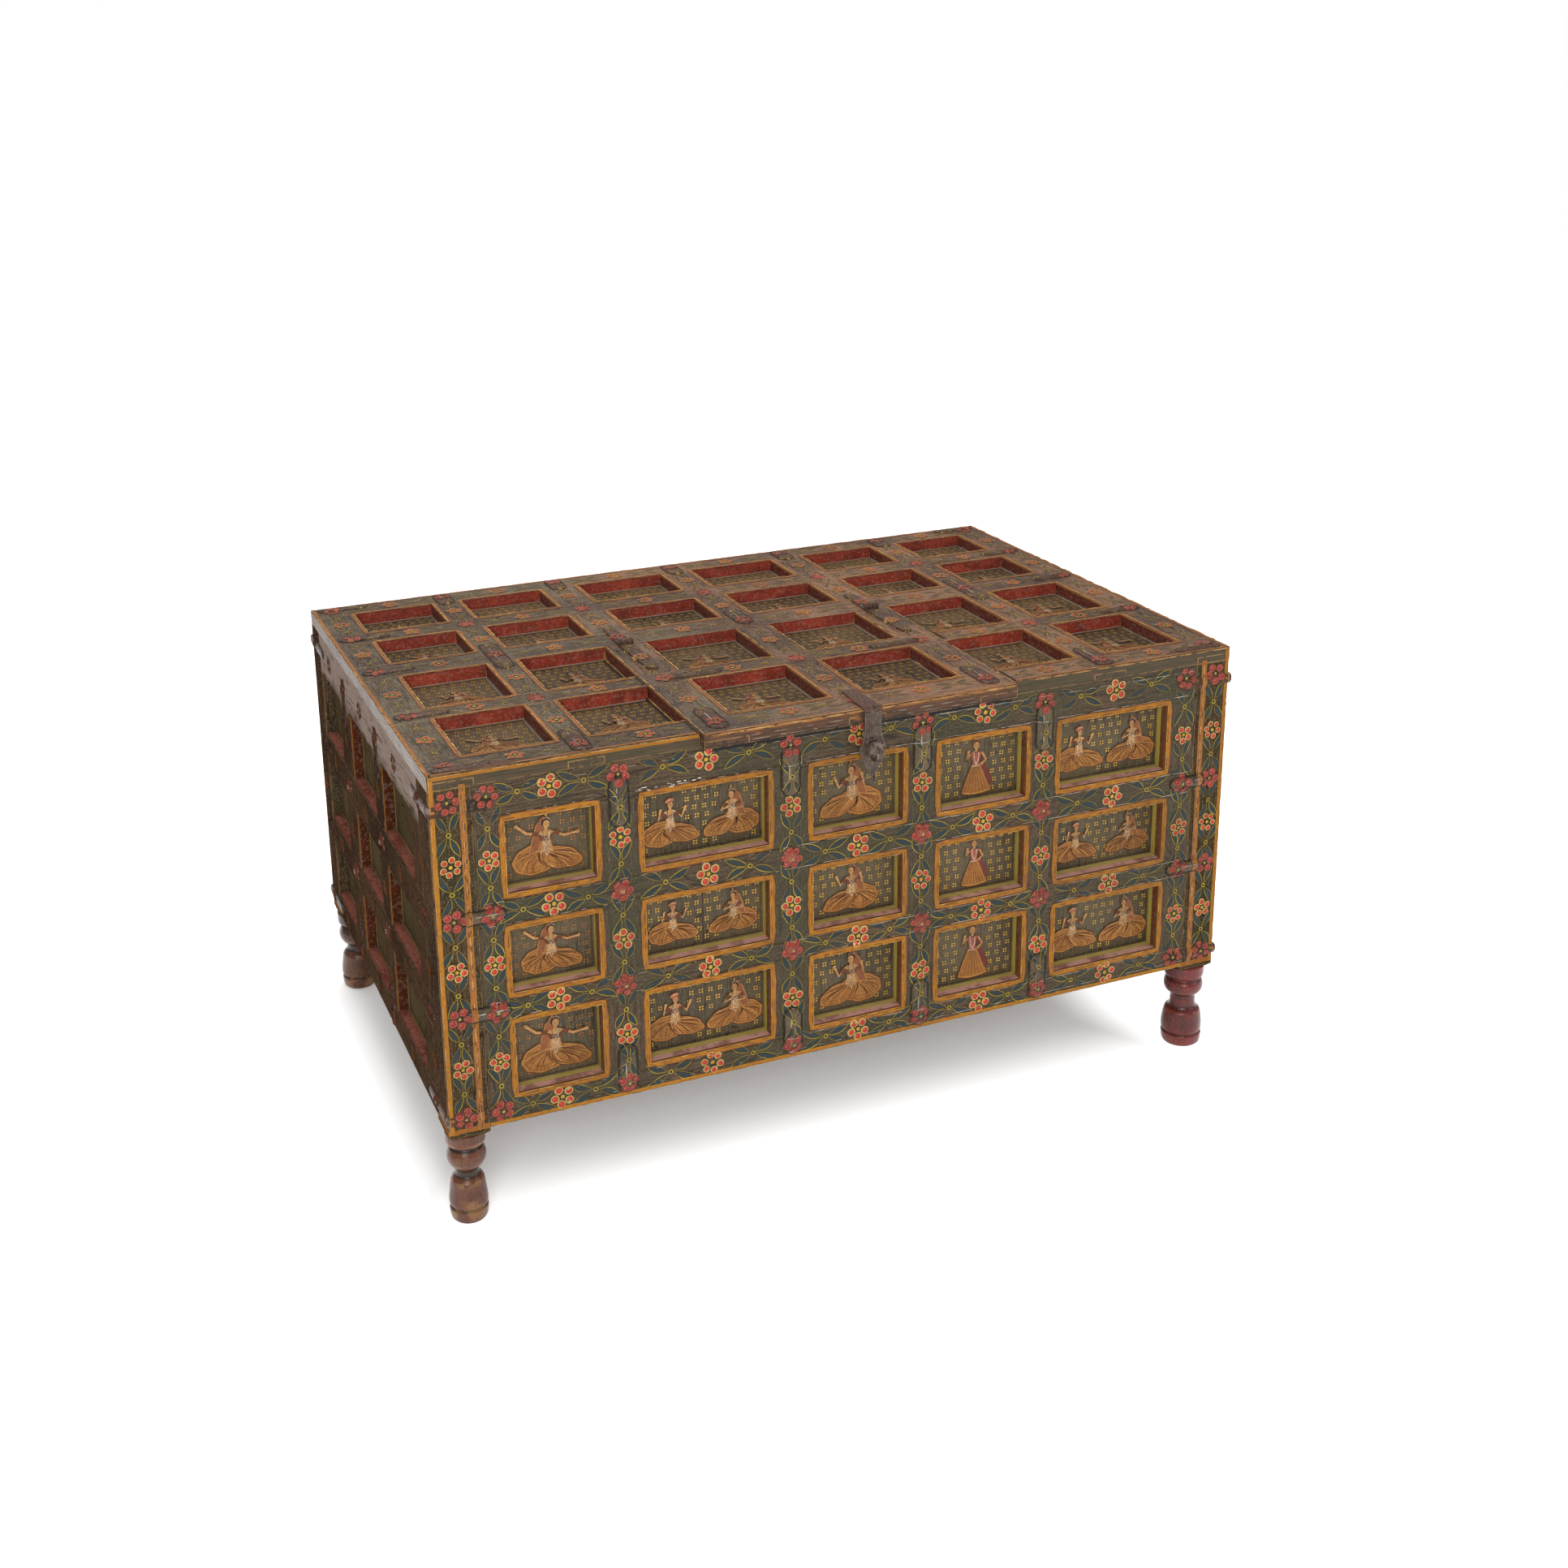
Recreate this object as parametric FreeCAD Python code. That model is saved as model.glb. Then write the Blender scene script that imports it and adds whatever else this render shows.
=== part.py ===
import FreeCAD, Part
import os
from FreeCAD import Vector

# Coffered wooden storage chest on four turned legs. The walls and the top are grids of halved battens
# nailed over plain boards, bound with iron straps. A flap let into the front of the top is the lid: it
# turns on two strap hinges, and a hasp on its front edge drops over a staple in the front.
# Millimetres. +X runs along the front to the right, +Y from the front to the back, +Z up.
# The origin is on the floor, below the middle of the whole outline.

# Overall size
chest_width = 1100.0
chest_depth = 700.0
chest_height = 596.0
leg_height = 122.0

# Posts, grids and boards
post_width = 52.0
post_depth = 54.0
front_grid = 22.0
side_grid = 16.0
top_grid = 18.0
board = 14.0
skirt_rise = 10.0
groove_depth = 6.0
tenon_length = 20.0
tenon_thickness = 8.0
tenon_setback = 4.0
tenon_shoulder = 7.0
joint_play = 0.1

# Openings of the coffers, each as shares of the size that it follows:
# columns of the chest's width from the left or of its depth from the back, and rows of the front's
# or side's height from the top down or of the depth from the back
front_column_shares = ((0.081, 0.181), (0.237, 0.385), (0.440, 0.554), (0.603, 0.717), (0.764, 0.913))
front_row_shares = ((0.146, 0.340), (0.441, 0.614), (0.700, 0.899))
side_column_shares = ((0.070, 0.267), (0.357, 0.567), (0.629, 0.867))
side_row_shares = ((0.160, 0.362), (0.458, 0.640), (0.720, 0.905))
top_column_shares = (
    (0.050, 0.154), (0.1945, 0.3045), (0.359, 0.481), (0.527, 0.649), (0.699, 0.808), (0.851, 0.954),
)
top_row_shares = ((0.066, 0.199), (0.267, 0.410), (0.493, 0.681), (0.740, 0.931))

# Joints between the planks, as shares of the width or depth that they divide
front_plank_shares = (0.294, 0.455, 0.688)
side_plank_shares = (0.31, 0.60)
back_plank_shares = (0.20, 0.42, 0.61, 0.80)
outer_plank_shares = (0.45,)
middle_plank_shares = (0.30, 0.66)
lid_plank_shares = (0.52,)
floor_plank_shares = (0.18, 0.36, 0.52, 0.68, 0.84)
plank_gap = 0.6

# Back wall, which has no coffers
back_top_rail = 52.0
back_bottom_rail = 40.0

# Floor
cleat_height = 12.0
cleat_depth = 20.0

# Lid
lid_gap = 2.0
lid_ledge = 20.0
lid_lip = 10.0

# Turned legs. An outline runs up from the floor: each row is a share of the leg's radius and a share of
# leg_height, and straight cuts of the chisel join them.
leg_radius = 27.0
post_bevel = 4.5
ball_leg_shares = (
    (0.92, 0.0), (0.95, 0.13), (0.86, 0.15), (0.96, 0.19), (0.82, 0.43), (0.62, 0.50), (0.63, 0.58),
    (0.90, 0.65), (0.96, 0.72), (0.76, 0.84), (0.97, 0.87), (0.99, 1.0),
)
ring_leg_shares = (
    (0.97, 0.0), (1.0, 0.13), (0.92, 0.15), (1.0, 0.19), (0.87, 0.41), (0.66, 0.46), (0.66, 0.63),
    (0.90, 0.66), (0.97, 0.75), (0.82, 0.85), (0.97, 0.88), (0.99, 1.0),
)
leg_outlines = {
    "front_left": ball_leg_shares, "front_right": ring_leg_shares,
    "back_left": ball_leg_shares, "back_right": ball_leg_shares,
}
leg_girth_shares = {"front_left": 0.95, "front_right": 1.06, "back_left": 1.0, "back_right": 0.98}

# Scratched beads along the front's rails
bead_inset = 9.0
bead_width = 2.4
bead_depth = 1.1

# Iron straps and boss nails
broad_strap = 24.0
narrow_strap = 16.0
strap_thickness = 3.2
strap_on_rail = 32.0
strap_on_stile = 32.0
strap_on_post = 22.0
strap_past_post = 32.0
strap_bevel_share = 0.28
strap_corner_share = 0.30
corner_strap_front = 76.0
corner_strap_side = 84.0
top_strap_inset = 5.0
top_strap_past = 10.0
top_strap_reach = 24.0
front_strap_past = 30.0
middle_strap_start = 14.0
hinge_rail_strap_past = 26.0
lid_strap_out = 22.0
lid_strap_in = 50.0
boss_width = 19.0
boss_height = 4.2
boss_top_width = 5.0
nail_shank = 4.0
nail_depth = 7.0

# Lid hinges
hinge_leaf_width = 21.0
hinge_leaf_thickness = 3.0
hinge_body_length = 78.0
hinge_lid_length = 115.0
hinge_tail_share = 0.72
knuckle_radius = 5.0
knuckle_lift = 0.3
hinge_pin_radius = 2.5
running_clearance = 0.05
knuckle_gap = 0.4
knuckle_room = 0.6
pin_stands_out = 1.0

# Hasp and staple
hasp_x_share = 0.508
hasp_strap_length = 66.0
hasp_strap_width = 24.0
hasp_knuckle_radius = 4.0
hasp_pin_radius = 2.0
hasp_top_width = 22.0
hasp_belly_width = 36.0
hasp_neck_width = 9.0
hasp_shoulder_above = 25.0
hasp_belly_above = 2.0
hasp_neck_below = 29.0
hasp_tip_below = 44.0
hasp_shoulder_share = 0.42
hasp_lower_share = 0.62
hasp_curl_radius = 11.0
hasp_curl_turn = 60.0
hasp_curl_below = 31.0
hasp_slot_width = 12.0
hasp_slot_room = 1.4
staple_rise_share = 0.336
staple_thickness = 9.0
staple_shank_width = 8.0
eye_radius = 12.5
eye_bore_radius = 7.0
eye_room = 1.5

# Places that follow from the sizes
left_x = -chest_width / 2
right_x = chest_width / 2
hasp_axis_out = lid_lip + hasp_knuckle_radius + knuckle_room
eye_out = hasp_axis_out + hinge_leaf_thickness / 2 + eye_room + eye_bore_radius
staple_reach = eye_out + eye_radius
front_y = -chest_depth / 2 + (staple_reach - strap_thickness) / 2
back_y = front_y + chest_depth
grid_top = chest_height - top_grid
skirt_z = leg_height + skirt_rise
face_height = chest_height - leg_height
full_turn = 360.0
upward = Vector(0, 0, 1)
rightward = Vector(1, 0, 0)


# Each face has its own directions: u along it, v up or back over it, and w into the chest.
def front_place(u, v, w):
    return Vector(u, front_y + w, v)


def back_place(u, v, w):
    return Vector(u, back_y - w, v)


def left_place(u, v, w):
    return Vector(left_x + w, u, v)


def right_place(u, v, w):
    return Vector(right_x - w, u, v)


def top_place(u, v, w):
    return Vector(u, v, chest_height - w)


def block(place, u, v, w):
    """A box between two corners that are given in a face's directions."""
    a = place(u[0], v[0], w[0])
    b = place(u[1], v[1], w[1])
    low = Vector(min(a.x, b.x), min(a.y, b.y), min(a.z, b.z))
    return Part.makeBox(abs(a.x - b.x), abs(a.y - b.y), abs(a.z - b.z), low)


def line(a, b):
    return Part.LineSegment(a, b).toShape()


def arc(a, middle_point, b):
    return Part.Arc(a, middle_point, b).toShape()


def face_of(points):
    return Part.Face(Part.makePolygon(points + points[:1]))


def around(centre, width):
    return (centre - width / 2, centre + width / 2)


def middle(band):
    return (band[0] + band[1]) / 2


def cut_all(shape, tools):
    return shape.cut(Part.makeCompound(tools)) if tools else shape


def across(shares):
    """Shares of the chest's width as places along X."""
    return [tuple(left_x + s * chest_width for s in pair) for pair in shares]


def from_back(shares):
    """Shares of the depth, counted from the back, as places along Y from the front on."""
    return [tuple(back_y - s * chest_depth for s in reversed(pair)) for pair in reversed(shares)]


def down_face(shares):
    """Shares of a wall's height, counted from the top, as places along Z from the bottom up."""
    return [tuple(chest_height - s * face_height for s in reversed(pair)) for pair in reversed(shares)]


def bands_between(openings, low, high):
    """The solid bands before, between and after a row of openings, which end where the span ends."""
    clipped = [(max(a, low), min(b, high)) for a, b in openings]
    edges = [low] + [edge for opening in clipped for edge in opening] + [high]
    return [(a, b) for a, b in zip(edges[0::2], edges[1::2]) if b > a]


# Bands of every grid
front_inner = (left_x + post_width, right_x - post_width)
side_inner = (front_y + post_depth, back_y - post_depth)
wall_z = (skirt_z, grid_top)
front_stiles = bands_between(across(front_column_shares), *front_inner)
front_rails = bands_between(down_face(front_row_shares), *wall_z)
side_stiles = bands_between(from_back(side_column_shares), *side_inner)
side_rails = bands_between(down_face(side_row_shares), *wall_z)
back_rails = [(skirt_z, skirt_z + back_bottom_rail), (grid_top - back_top_rail, grid_top)]
top_columns = across(top_column_shares)
top_stiles = bands_between(top_columns, left_x, right_x)
front_band, lid_band, hinge_band, second_band, back_band = bands_between(
    from_back(top_row_shares), front_y, back_y,
)
flap = (top_columns[1][1], top_columns[4][0])
flap_back = hinge_band[0]
lid_x = (flap[0] + lid_gap, flap[1] - lid_gap)
lid_back = flap_back - lid_gap
lid_front = front_y - lid_lip
lid_stiles = bands_between(top_columns[2:4], *lid_x)
inside_x = (left_x + side_grid + board, right_x - side_grid - board)
inside_y = (front_y + front_grid + board, back_y - front_grid - board)
hinge_y = middle((lid_back, flap_back))
hinge_w = -(knuckle_radius + knuckle_lift)
hasp_x = left_x + hasp_x_share * chest_width
hasp_y = front_y - hasp_axis_out
hasp_z = chest_height + hinge_leaf_thickness / 2
staple_z = front_rails[-1][0] + staple_rise_share * (front_rails[-1][1] - front_rails[-1][0])
eye_drop = Vector(0, eye_out - hasp_axis_out, hasp_z - staple_z).Length
hasp_straight = eye_drop - hasp_shoulder_above
hasp_belly_at = eye_drop - hasp_belly_above
hasp_neck_at = eye_drop + hasp_neck_below
hasp_length = eye_drop + hasp_tip_below
hasp_curl_at = eye_drop + hasp_curl_below


def inner_stiles(stiles, span):
    """The stiles that stand clear of the posts."""
    return [s for s in stiles if s[0] > span[0] and s[1] < span[1]]


# Boss nails stand where rails and stiles cross and no strap lies
front_middles = [middle(s) for s in inner_stiles(front_stiles, front_inner)]
side_middles = [middle(s) for s in inner_stiles(side_stiles, side_inner)]
front_nails = [(u, middle(rail)) for rail in front_rails[1:-1] for u in front_middles]
side_nails = [(u, middle(rail)) for rail in side_rails[1:-1] for u in side_middles]
top_nails = [(middle(s), middle(second_band)) for s in top_stiles[1:6]]
top_nails += [(middle(s), middle(lid_band)) for s in (top_stiles[1], top_stiles[5])]
lid_nails = [(middle(lid_stiles[1]), middle(lid_band))]


# Halved battens
def halved_rail(place, span, band, stiles, thickness):
    """A batten that shows along its whole length, notched behind for each stile that it crosses."""
    rail = block(place, span, band, (0, thickness))
    notches = [block(place, stile, band, (thickness / 2, thickness)) for stile in stiles]
    return cut_all(rail, notches)


def halved_stile(place, band, span, rails, thickness):
    """A batten that passes behind the rails, notched in front for each rail that crosses it."""
    stile = block(place, band, span, (0, thickness))
    notches = [block(place, band, rail, (0, thickness / 2)) for rail in rails]
    return cut_all(stile, notches)


def tenons(place, span, band, play):
    """The two end tongues of a rail, grown by play where they cut their mortises."""
    v = (band[0] + tenon_shoulder - play, band[1] - tenon_shoulder + play)
    w = (tenon_setback - play, tenon_setback + tenon_thickness + play)
    return [
        block(place, (span[0] - tenon_length - play, span[0]), v, w),
        block(place, (span[1], span[1] + tenon_length + play), v, w),
    ]


def bead(place, span, v):
    """The V that a scratch stock cuts along a rail."""
    profile = [
        place(span[0], v - bead_width / 2, 0),
        place(span[0], v + bead_width / 2, 0),
        place(span[0], v, bead_depth),
    ]
    return face_of(profile).extrude(place(span[1], v, 0) - place(span[0], v, 0))


def planks(place, span, shares, v, w):
    """Boards side by side along u, with a narrow gap at each joint."""
    edges = [span[0] + s * (span[1] - span[0]) for s in (0, *shares, 1)]
    made = []
    for a, b in zip(edges, edges[1:]):
        low = a + (plank_gap / 2 if a > span[0] else 0)
        high = b - (plank_gap / 2 if b < span[1] else 0)
        made.append(block(place, (low, high), v, w))
    return made


def grooves(place, span, thickness):
    """The slots in two posts that hold the ends of a wall's boards."""
    w = (thickness - joint_play, thickness + board + joint_play)
    z = (skirt_z - joint_play, grid_top)
    deep = groove_depth + joint_play
    return [
        block(place, (span[0] - deep, span[0]), z, w),
        block(place, (span[1], span[1] + deep), z, w),
    ]


# Nails and straps
def shank(place, u, v, play):
    """A nail's square shank, grown by play where it cuts its hole."""
    thick = nail_shank + 2 * play
    return block(place, around(u, thick), around(v, thick), (0, nail_depth + play))


def frustum(low, high):
    """A solid between two outlines with parallel sides."""
    pairs = list(zip(low, high))
    sides = [face_of([a, b, d, c]) for (a, c), (b, d) in zip(pairs, pairs[1:] + pairs[:1])]
    return Part.Solid(Part.Shell([face_of(low), face_of(high)] + sides))


def boss(place, u, v):
    """A pyramid-headed nail with a square forged shank."""
    outlines = []
    for width, w in ((boss_width, 0), (boss_top_width, -boss_height)):
        corners = [(-1, -1), (1, -1), (1, 1), (-1, 1)]
        outlines.append([place(u + a * width / 2, v + b * width / 2, w) for a, b in corners])
    return frustum(*outlines).fuse(shank(place, u, v, 0))


def strap_outline(length, width, inset):
    """Places along and across a strap with clipped corners, drawn in by inset on every side."""
    clip = width * strap_corner_share - inset * (2 - 2**0.5)
    half = width / 2 - inset
    near, far = inset, length - inset
    return [
        (near + clip, -half), (far - clip, -half), (far, clip - half), (far, half - clip),
        (far - clip, half), (near + clip, half), (near, half - clip), (near, clip - half),
    ]


def strap_bar(a, b, rise, width):
    """A bar with bevelled sides and ends that lies from a to b and stands out by rise."""
    along = (b - a).normalize()
    side = along.cross(rise).normalize()
    length = (b - a).Length
    low = [a + along * s + side * t for s, t in strap_outline(length, width, 0)]
    bevelled = strap_outline(length, width, width * strap_bevel_share)
    return frustum(low, [a + along * s + side * t + rise for s, t in bevelled])


def strap_u(place, u, v, width):
    """A strap along u, centred on v."""
    a = place(u[0], v, 0)
    return strap_bar(a, place(u[1], v, 0), place(u[0], v, -strap_thickness) - a, width)


def strap_v(place, u, v, width):
    """A strap along v, centred on u."""
    a = place(u, v[0], 0)
    return strap_bar(a, place(u, v[1], 0), place(u, v[0], -strap_thickness) - a, width)


def upright_straps(place, stiles, rails, width):
    """Straps over the joints of the stiles with the top rail and the bottom rail."""
    low_edge, top_edge = rails[0][1], rails[-1][0]
    made = []
    for u in [middle(stile) for stile in stiles]:
        made.append(strap_v(place, u, (top_edge - strap_on_stile, top_edge + strap_on_rail), width))
        made.append(strap_v(place, u, (low_edge - strap_on_rail, low_edge + strap_on_stile), width))
    return made


def post_straps(place, rails, span):
    """Short straps over the joints of the middle rails with the posts."""
    made = []
    for v in [middle(rail) for rail in rails[1:-1]]:
        left_u = (span[0] - strap_on_post, span[0] + strap_past_post)
        right_u = (span[1] - strap_past_post, span[1] + strap_on_post)
        made += [strap_u(place, left_u, v, narrow_strap), strap_u(place, right_u, v, narrow_strap)]
    return made


def corner_strap(x_side, y_side, band):
    """A strap bent round a corner post at the height of a rail."""
    corner = Vector(
        left_x if x_side < 0 else right_x,
        front_y if y_side < 0 else back_y,
        middle(band),
    )
    rise_x = Vector(x_side * strap_thickness, 0, 0)
    rise_y = Vector(0, y_side * strap_thickness, 0)
    front_end = corner - Vector(x_side * corner_strap_front, 0, 0)
    side_end = corner - Vector(0, y_side * corner_strap_side, 0)
    past = corner + Vector(x_side * narrow_strap, y_side * narrow_strap, 0)
    front_arm = strap_bar(Vector(past.x, corner.y, corner.z), front_end, rise_y, narrow_strap)
    side_arm = strap_bar(Vector(corner.x, past.y, corner.z), side_end, rise_x, narrow_strap)
    beyond = block(Vector, (corner.x, past.x), (corner.y, past.y), around(corner.z, narrow_strap))
    bend = front_arm.common(side_arm)
    return front_arm.cut(beyond).fuse(side_arm.cut(beyond)).fuse(bend).removeSplitter()


# Walls
def wall_rails(place, span, rails, stiles, thickness, nails, beaded=False):
    """The rails of a coffered wall, tenoned at both ends, with a bead along each edge where beaded."""
    holes = [shank(place, u, v, joint_play) for u, v in nails]
    made = []
    for band in rails:
        rail = halved_rail(place, span, band, stiles, thickness)
        for tenon in tenons(place, span, band, 0):
            rail = rail.fuse(tenon)
        edges = (band[0] + bead_inset, band[1] - bead_inset) if beaded else ()
        beads = [bead(place, span, v) for v in edges]
        made.append(cut_all(rail, holes + beads).removeSplitter())
    return made


def wall_stiles(place, rails, stiles, thickness, nails):
    """The stiles of a coffered wall, halved behind its rails."""
    holes = [shank(place, u, v, joint_play) for u, v in nails]
    return [
        cut_all(halved_stile(place, band, wall_z, rails, thickness), holes).removeSplitter()
        for band in stiles
    ]


def wall_boards(place, span, shares, thickness):
    """A wall's boards, behind its grid and in the grooves of its posts."""
    wide = (span[0] - groove_depth, span[1] + groove_depth)
    return planks(place, wide, shares, wall_z, (thickness, thickness + board))


def front_wall():
    hole = [staple_shank(joint_play)]
    rails = wall_rails(
        front_place, front_inner, front_rails, front_stiles, front_grid, front_nails, beaded=True,
    )
    boards = wall_boards(front_place, front_inner, front_plank_shares, front_grid)
    uprights = inner_stiles(front_stiles, front_inner)
    nodes = {
        "front_rail_bottom": [rails[0]],
        "front_rail_lower": [rails[1]],
        "front_rail_upper": [rails[2]],
        "front_rail_top": [cut_all(rails[3], hole)],
        "front_stiles": wall_stiles(front_place, front_rails, front_stiles, front_grid, front_nails),
        "front_boards": [cut_all(b, hole) for b in boards],
        "front_bosses": [boss(front_place, u, v) for u, v in front_nails],
        "front_straps": upright_straps(front_place, uprights, front_rails, broad_strap)
        + post_straps(front_place, front_rails, front_inner),
    }
    return nodes


def side_wall(name, place):
    uprights = inner_stiles(side_stiles, side_inner)
    return {
        f"{name}_rails": wall_rails(place, side_inner, side_rails, side_stiles, side_grid, side_nails),
        f"{name}_stiles": wall_stiles(place, side_rails, side_stiles, side_grid, side_nails),
        f"{name}_boards": wall_boards(place, side_inner, side_plank_shares, side_grid),
        f"{name}_bosses": [boss(place, u, v) for u, v in side_nails],
        f"{name}_straps": upright_straps(place, uprights, side_rails, narrow_strap)
        + post_straps(place, side_rails, side_inner),
    }


def back_wall():
    """Two plain rails over boards: the back has no coffers."""
    rails = wall_rails(back_place, front_inner, back_rails, [], front_grid, [])
    return {
        "back_rail_bottom": [rails[0]],
        "back_rail_top": [rails[1]],
        "back_boards": wall_boards(back_place, front_inner, back_plank_shares, front_grid),
    }


# Posts and turned legs
def turned_leg(outline, radius, axis):
    """A leg that is turned about a vertical axis from its outline."""

    def at(r_share, z_share):
        return axis + Vector(r_share * radius, 0, z_share * leg_height)

    profile = face_of([at(0, 0)] + [at(*pair) for pair in outline] + [at(0, 1)])
    return profile.revolve(axis, upward, full_turn)


def post_box(x_side, y_side, z, play):
    """The space of a square post between two heights, grown by play."""
    x = left_x if x_side < 0 else right_x - post_width
    y = front_y if y_side < 0 else back_y - post_depth
    corner = Vector(x - play, y - play, z[0])
    return Part.makeBox(post_width + 2 * play, post_depth + 2 * play, z[1] - z[0], corner)


def post(x_side, y_side, name, cutters):
    """A corner post whose lower end is bevelled down to the leg turned from it."""
    x = (left_x if x_side < 0 else right_x) - x_side * post_width / 2
    y = (front_y if y_side < 0 else back_y) - y_side * post_depth / 2
    radius = leg_radius * leg_girth_shares[name]
    square = post_box(x_side, y_side, (leg_height, grid_top), 0)
    end_edges = [edge for edge in square.Edges if edge.BoundBox.ZMax < leg_height + post_bevel]
    square = square.makeChamfer(post_bevel, end_edges)
    leg = turned_leg(leg_outlines[name], radius, Vector(x, y, 0))
    return cut_all(square.fuse(leg), cutters)


def posts():
    nodes = {"front_posts": [], "back_posts": []}
    for x_side, side, side_place in ((-1, "left", left_place), (1, "right", right_place)):
        side_cutters = grooves(side_place, side_inner, side_grid)
        for band in side_rails:
            side_cutters += tenons(side_place, side_inner, band, joint_play)
        for y_side, end, place, rails in (
            (-1, "front", front_place, front_rails), (1, "back", back_place, back_rails),
        ):
            cutters = side_cutters + grooves(place, front_inner, front_grid)
            for band in rails:
                cutters += tenons(place, front_inner, band, joint_play)
            nodes[f"{end}_posts"].append(post(x_side, y_side, f"{end}_{side}", cutters))
    return nodes


# Floor
def floor():
    """Floor boards notched round the posts, on a cleat along the front and one along the back."""
    z = (skirt_z + cleat_height, skirt_z + cleat_height + board)
    corners = [post_box(a, b, (leg_height, grid_top), joint_play) for a in (-1, 1) for b in (-1, 1)]
    boards = [cut_all(b, corners) for b in planks(Vector, inside_x, floor_plank_shares, inside_y, z)]
    cleat_z = (skirt_z, skirt_z + cleat_height)
    cleats = [
        block(Vector, front_inner, (inside_y[0], inside_y[0] + cleat_depth), cleat_z),
        block(Vector, front_inner, (inside_y[1] - cleat_depth, inside_y[1]), cleat_z),
    ]
    return {"floor_boards": boards, "floor_cleats": [cut_all(c, corners) for c in cleats]}


# Fixed part of the top
def top_grid_battens():
    """The halved battens of the fixed part of the top."""
    left_span, right_span = (left_x, flap[0]), (flap[1], right_x)
    full_span = (left_x, right_x)
    long_stiles = top_stiles[:2] + top_stiles[5:]
    rows = [back_band, second_band, hinge_band, lid_band, front_band]
    holes = [shank(top_place, u, v, joint_play) for u, v in top_nails]

    def rail(span, band, stiles):
        return [cut_all(halved_rail(top_place, span, band, stiles, top_grid), holes)]

    def stile(band, span, crossing):
        return cut_all(halved_stile(top_place, band, span, crossing, top_grid), holes)

    stiles = [stile(band, (front_y, back_y), rows) for band in long_stiles]
    stiles += [stile(band, (flap_back, back_y), rows[:3]) for band in top_stiles[2:5]]
    return {
        "top_rail_back": rail(full_span, back_band, top_stiles),
        "top_rail_second": rail(full_span, second_band, top_stiles),
        "top_rail_hinge": rail(full_span, hinge_band, top_stiles),
        "top_rail_side_left": rail(left_span, lid_band, long_stiles[:2]),
        "top_rail_side_right": rail(right_span, lid_band, long_stiles[2:]),
        "top_rail_front_left": rail(left_span, front_band, long_stiles[:2]),
        "top_rail_front_right": rail(right_span, front_band, long_stiles[2:]),
        "top_stiles": stiles,
    }


def top_boards():
    """Boards under the fixed grid: beside the flap they reach in under its stiles as ledges."""
    corners = [post_box(a, b, (leg_height, grid_top), joint_play) for a in (-1, 1) for b in (-1, 1)]
    w = (top_grid, top_grid + board)
    ledge = (flap[0] + lid_ledge, flap[1] - lid_ledge)
    boards = planks(top_place, (inside_x[0], ledge[0]), outer_plank_shares, inside_y, w)
    boards += planks(top_place, (ledge[1], inside_x[1]), outer_plank_shares, inside_y, w)
    between = (ledge[0] + plank_gap, ledge[1] - plank_gap)
    boards += planks(top_place, between, middle_plank_shares, (flap_back, inside_y[1]), w)
    return {"top_boards": [cut_all(b, corners) for b in boards]}


def top_straps():
    """Straps over the joints of the fixed grid."""
    made = []
    for stile in top_stiles[1:6]:
        v = (back_band[0] - top_strap_past, back_y - top_strap_inset)
        made.append(strap_v(top_place, middle(stile), v, broad_strap))
    for stile in (top_stiles[1], top_stiles[5]):
        over_hinge_rail = (hinge_band[0] - hinge_rail_strap_past, hinge_band[1] + hinge_rail_strap_past)
        at_front = (front_y + top_strap_inset, front_band[1] + front_strap_past)
        made.append(strap_v(top_place, middle(stile), over_hinge_rail, broad_strap))
        made.append(strap_v(top_place, middle(stile), at_front, broad_strap))
    at_middle = (flap_back + middle_strap_start, hinge_band[1] + top_strap_reach)
    made.append(strap_v(top_place, middle(top_stiles[3]), at_middle, broad_strap))
    edge = top_strap_inset + narrow_strap / 2
    left_u = (left_x + top_strap_past, top_stiles[0][1] + top_strap_reach)
    right_u = (top_stiles[6][0] - top_strap_reach, right_x - top_strap_past)
    for v in (front_y + edge, middle(lid_band), middle(hinge_band), middle(second_band), back_y - edge):
        made.append(strap_u(top_place, left_u, v, narrow_strap))
        made.append(strap_u(top_place, right_u, v, narrow_strap))
    return {
        "top_straps": made,
        "top_bosses": [boss(top_place, u, v) for u, v in top_nails],
    }


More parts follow.
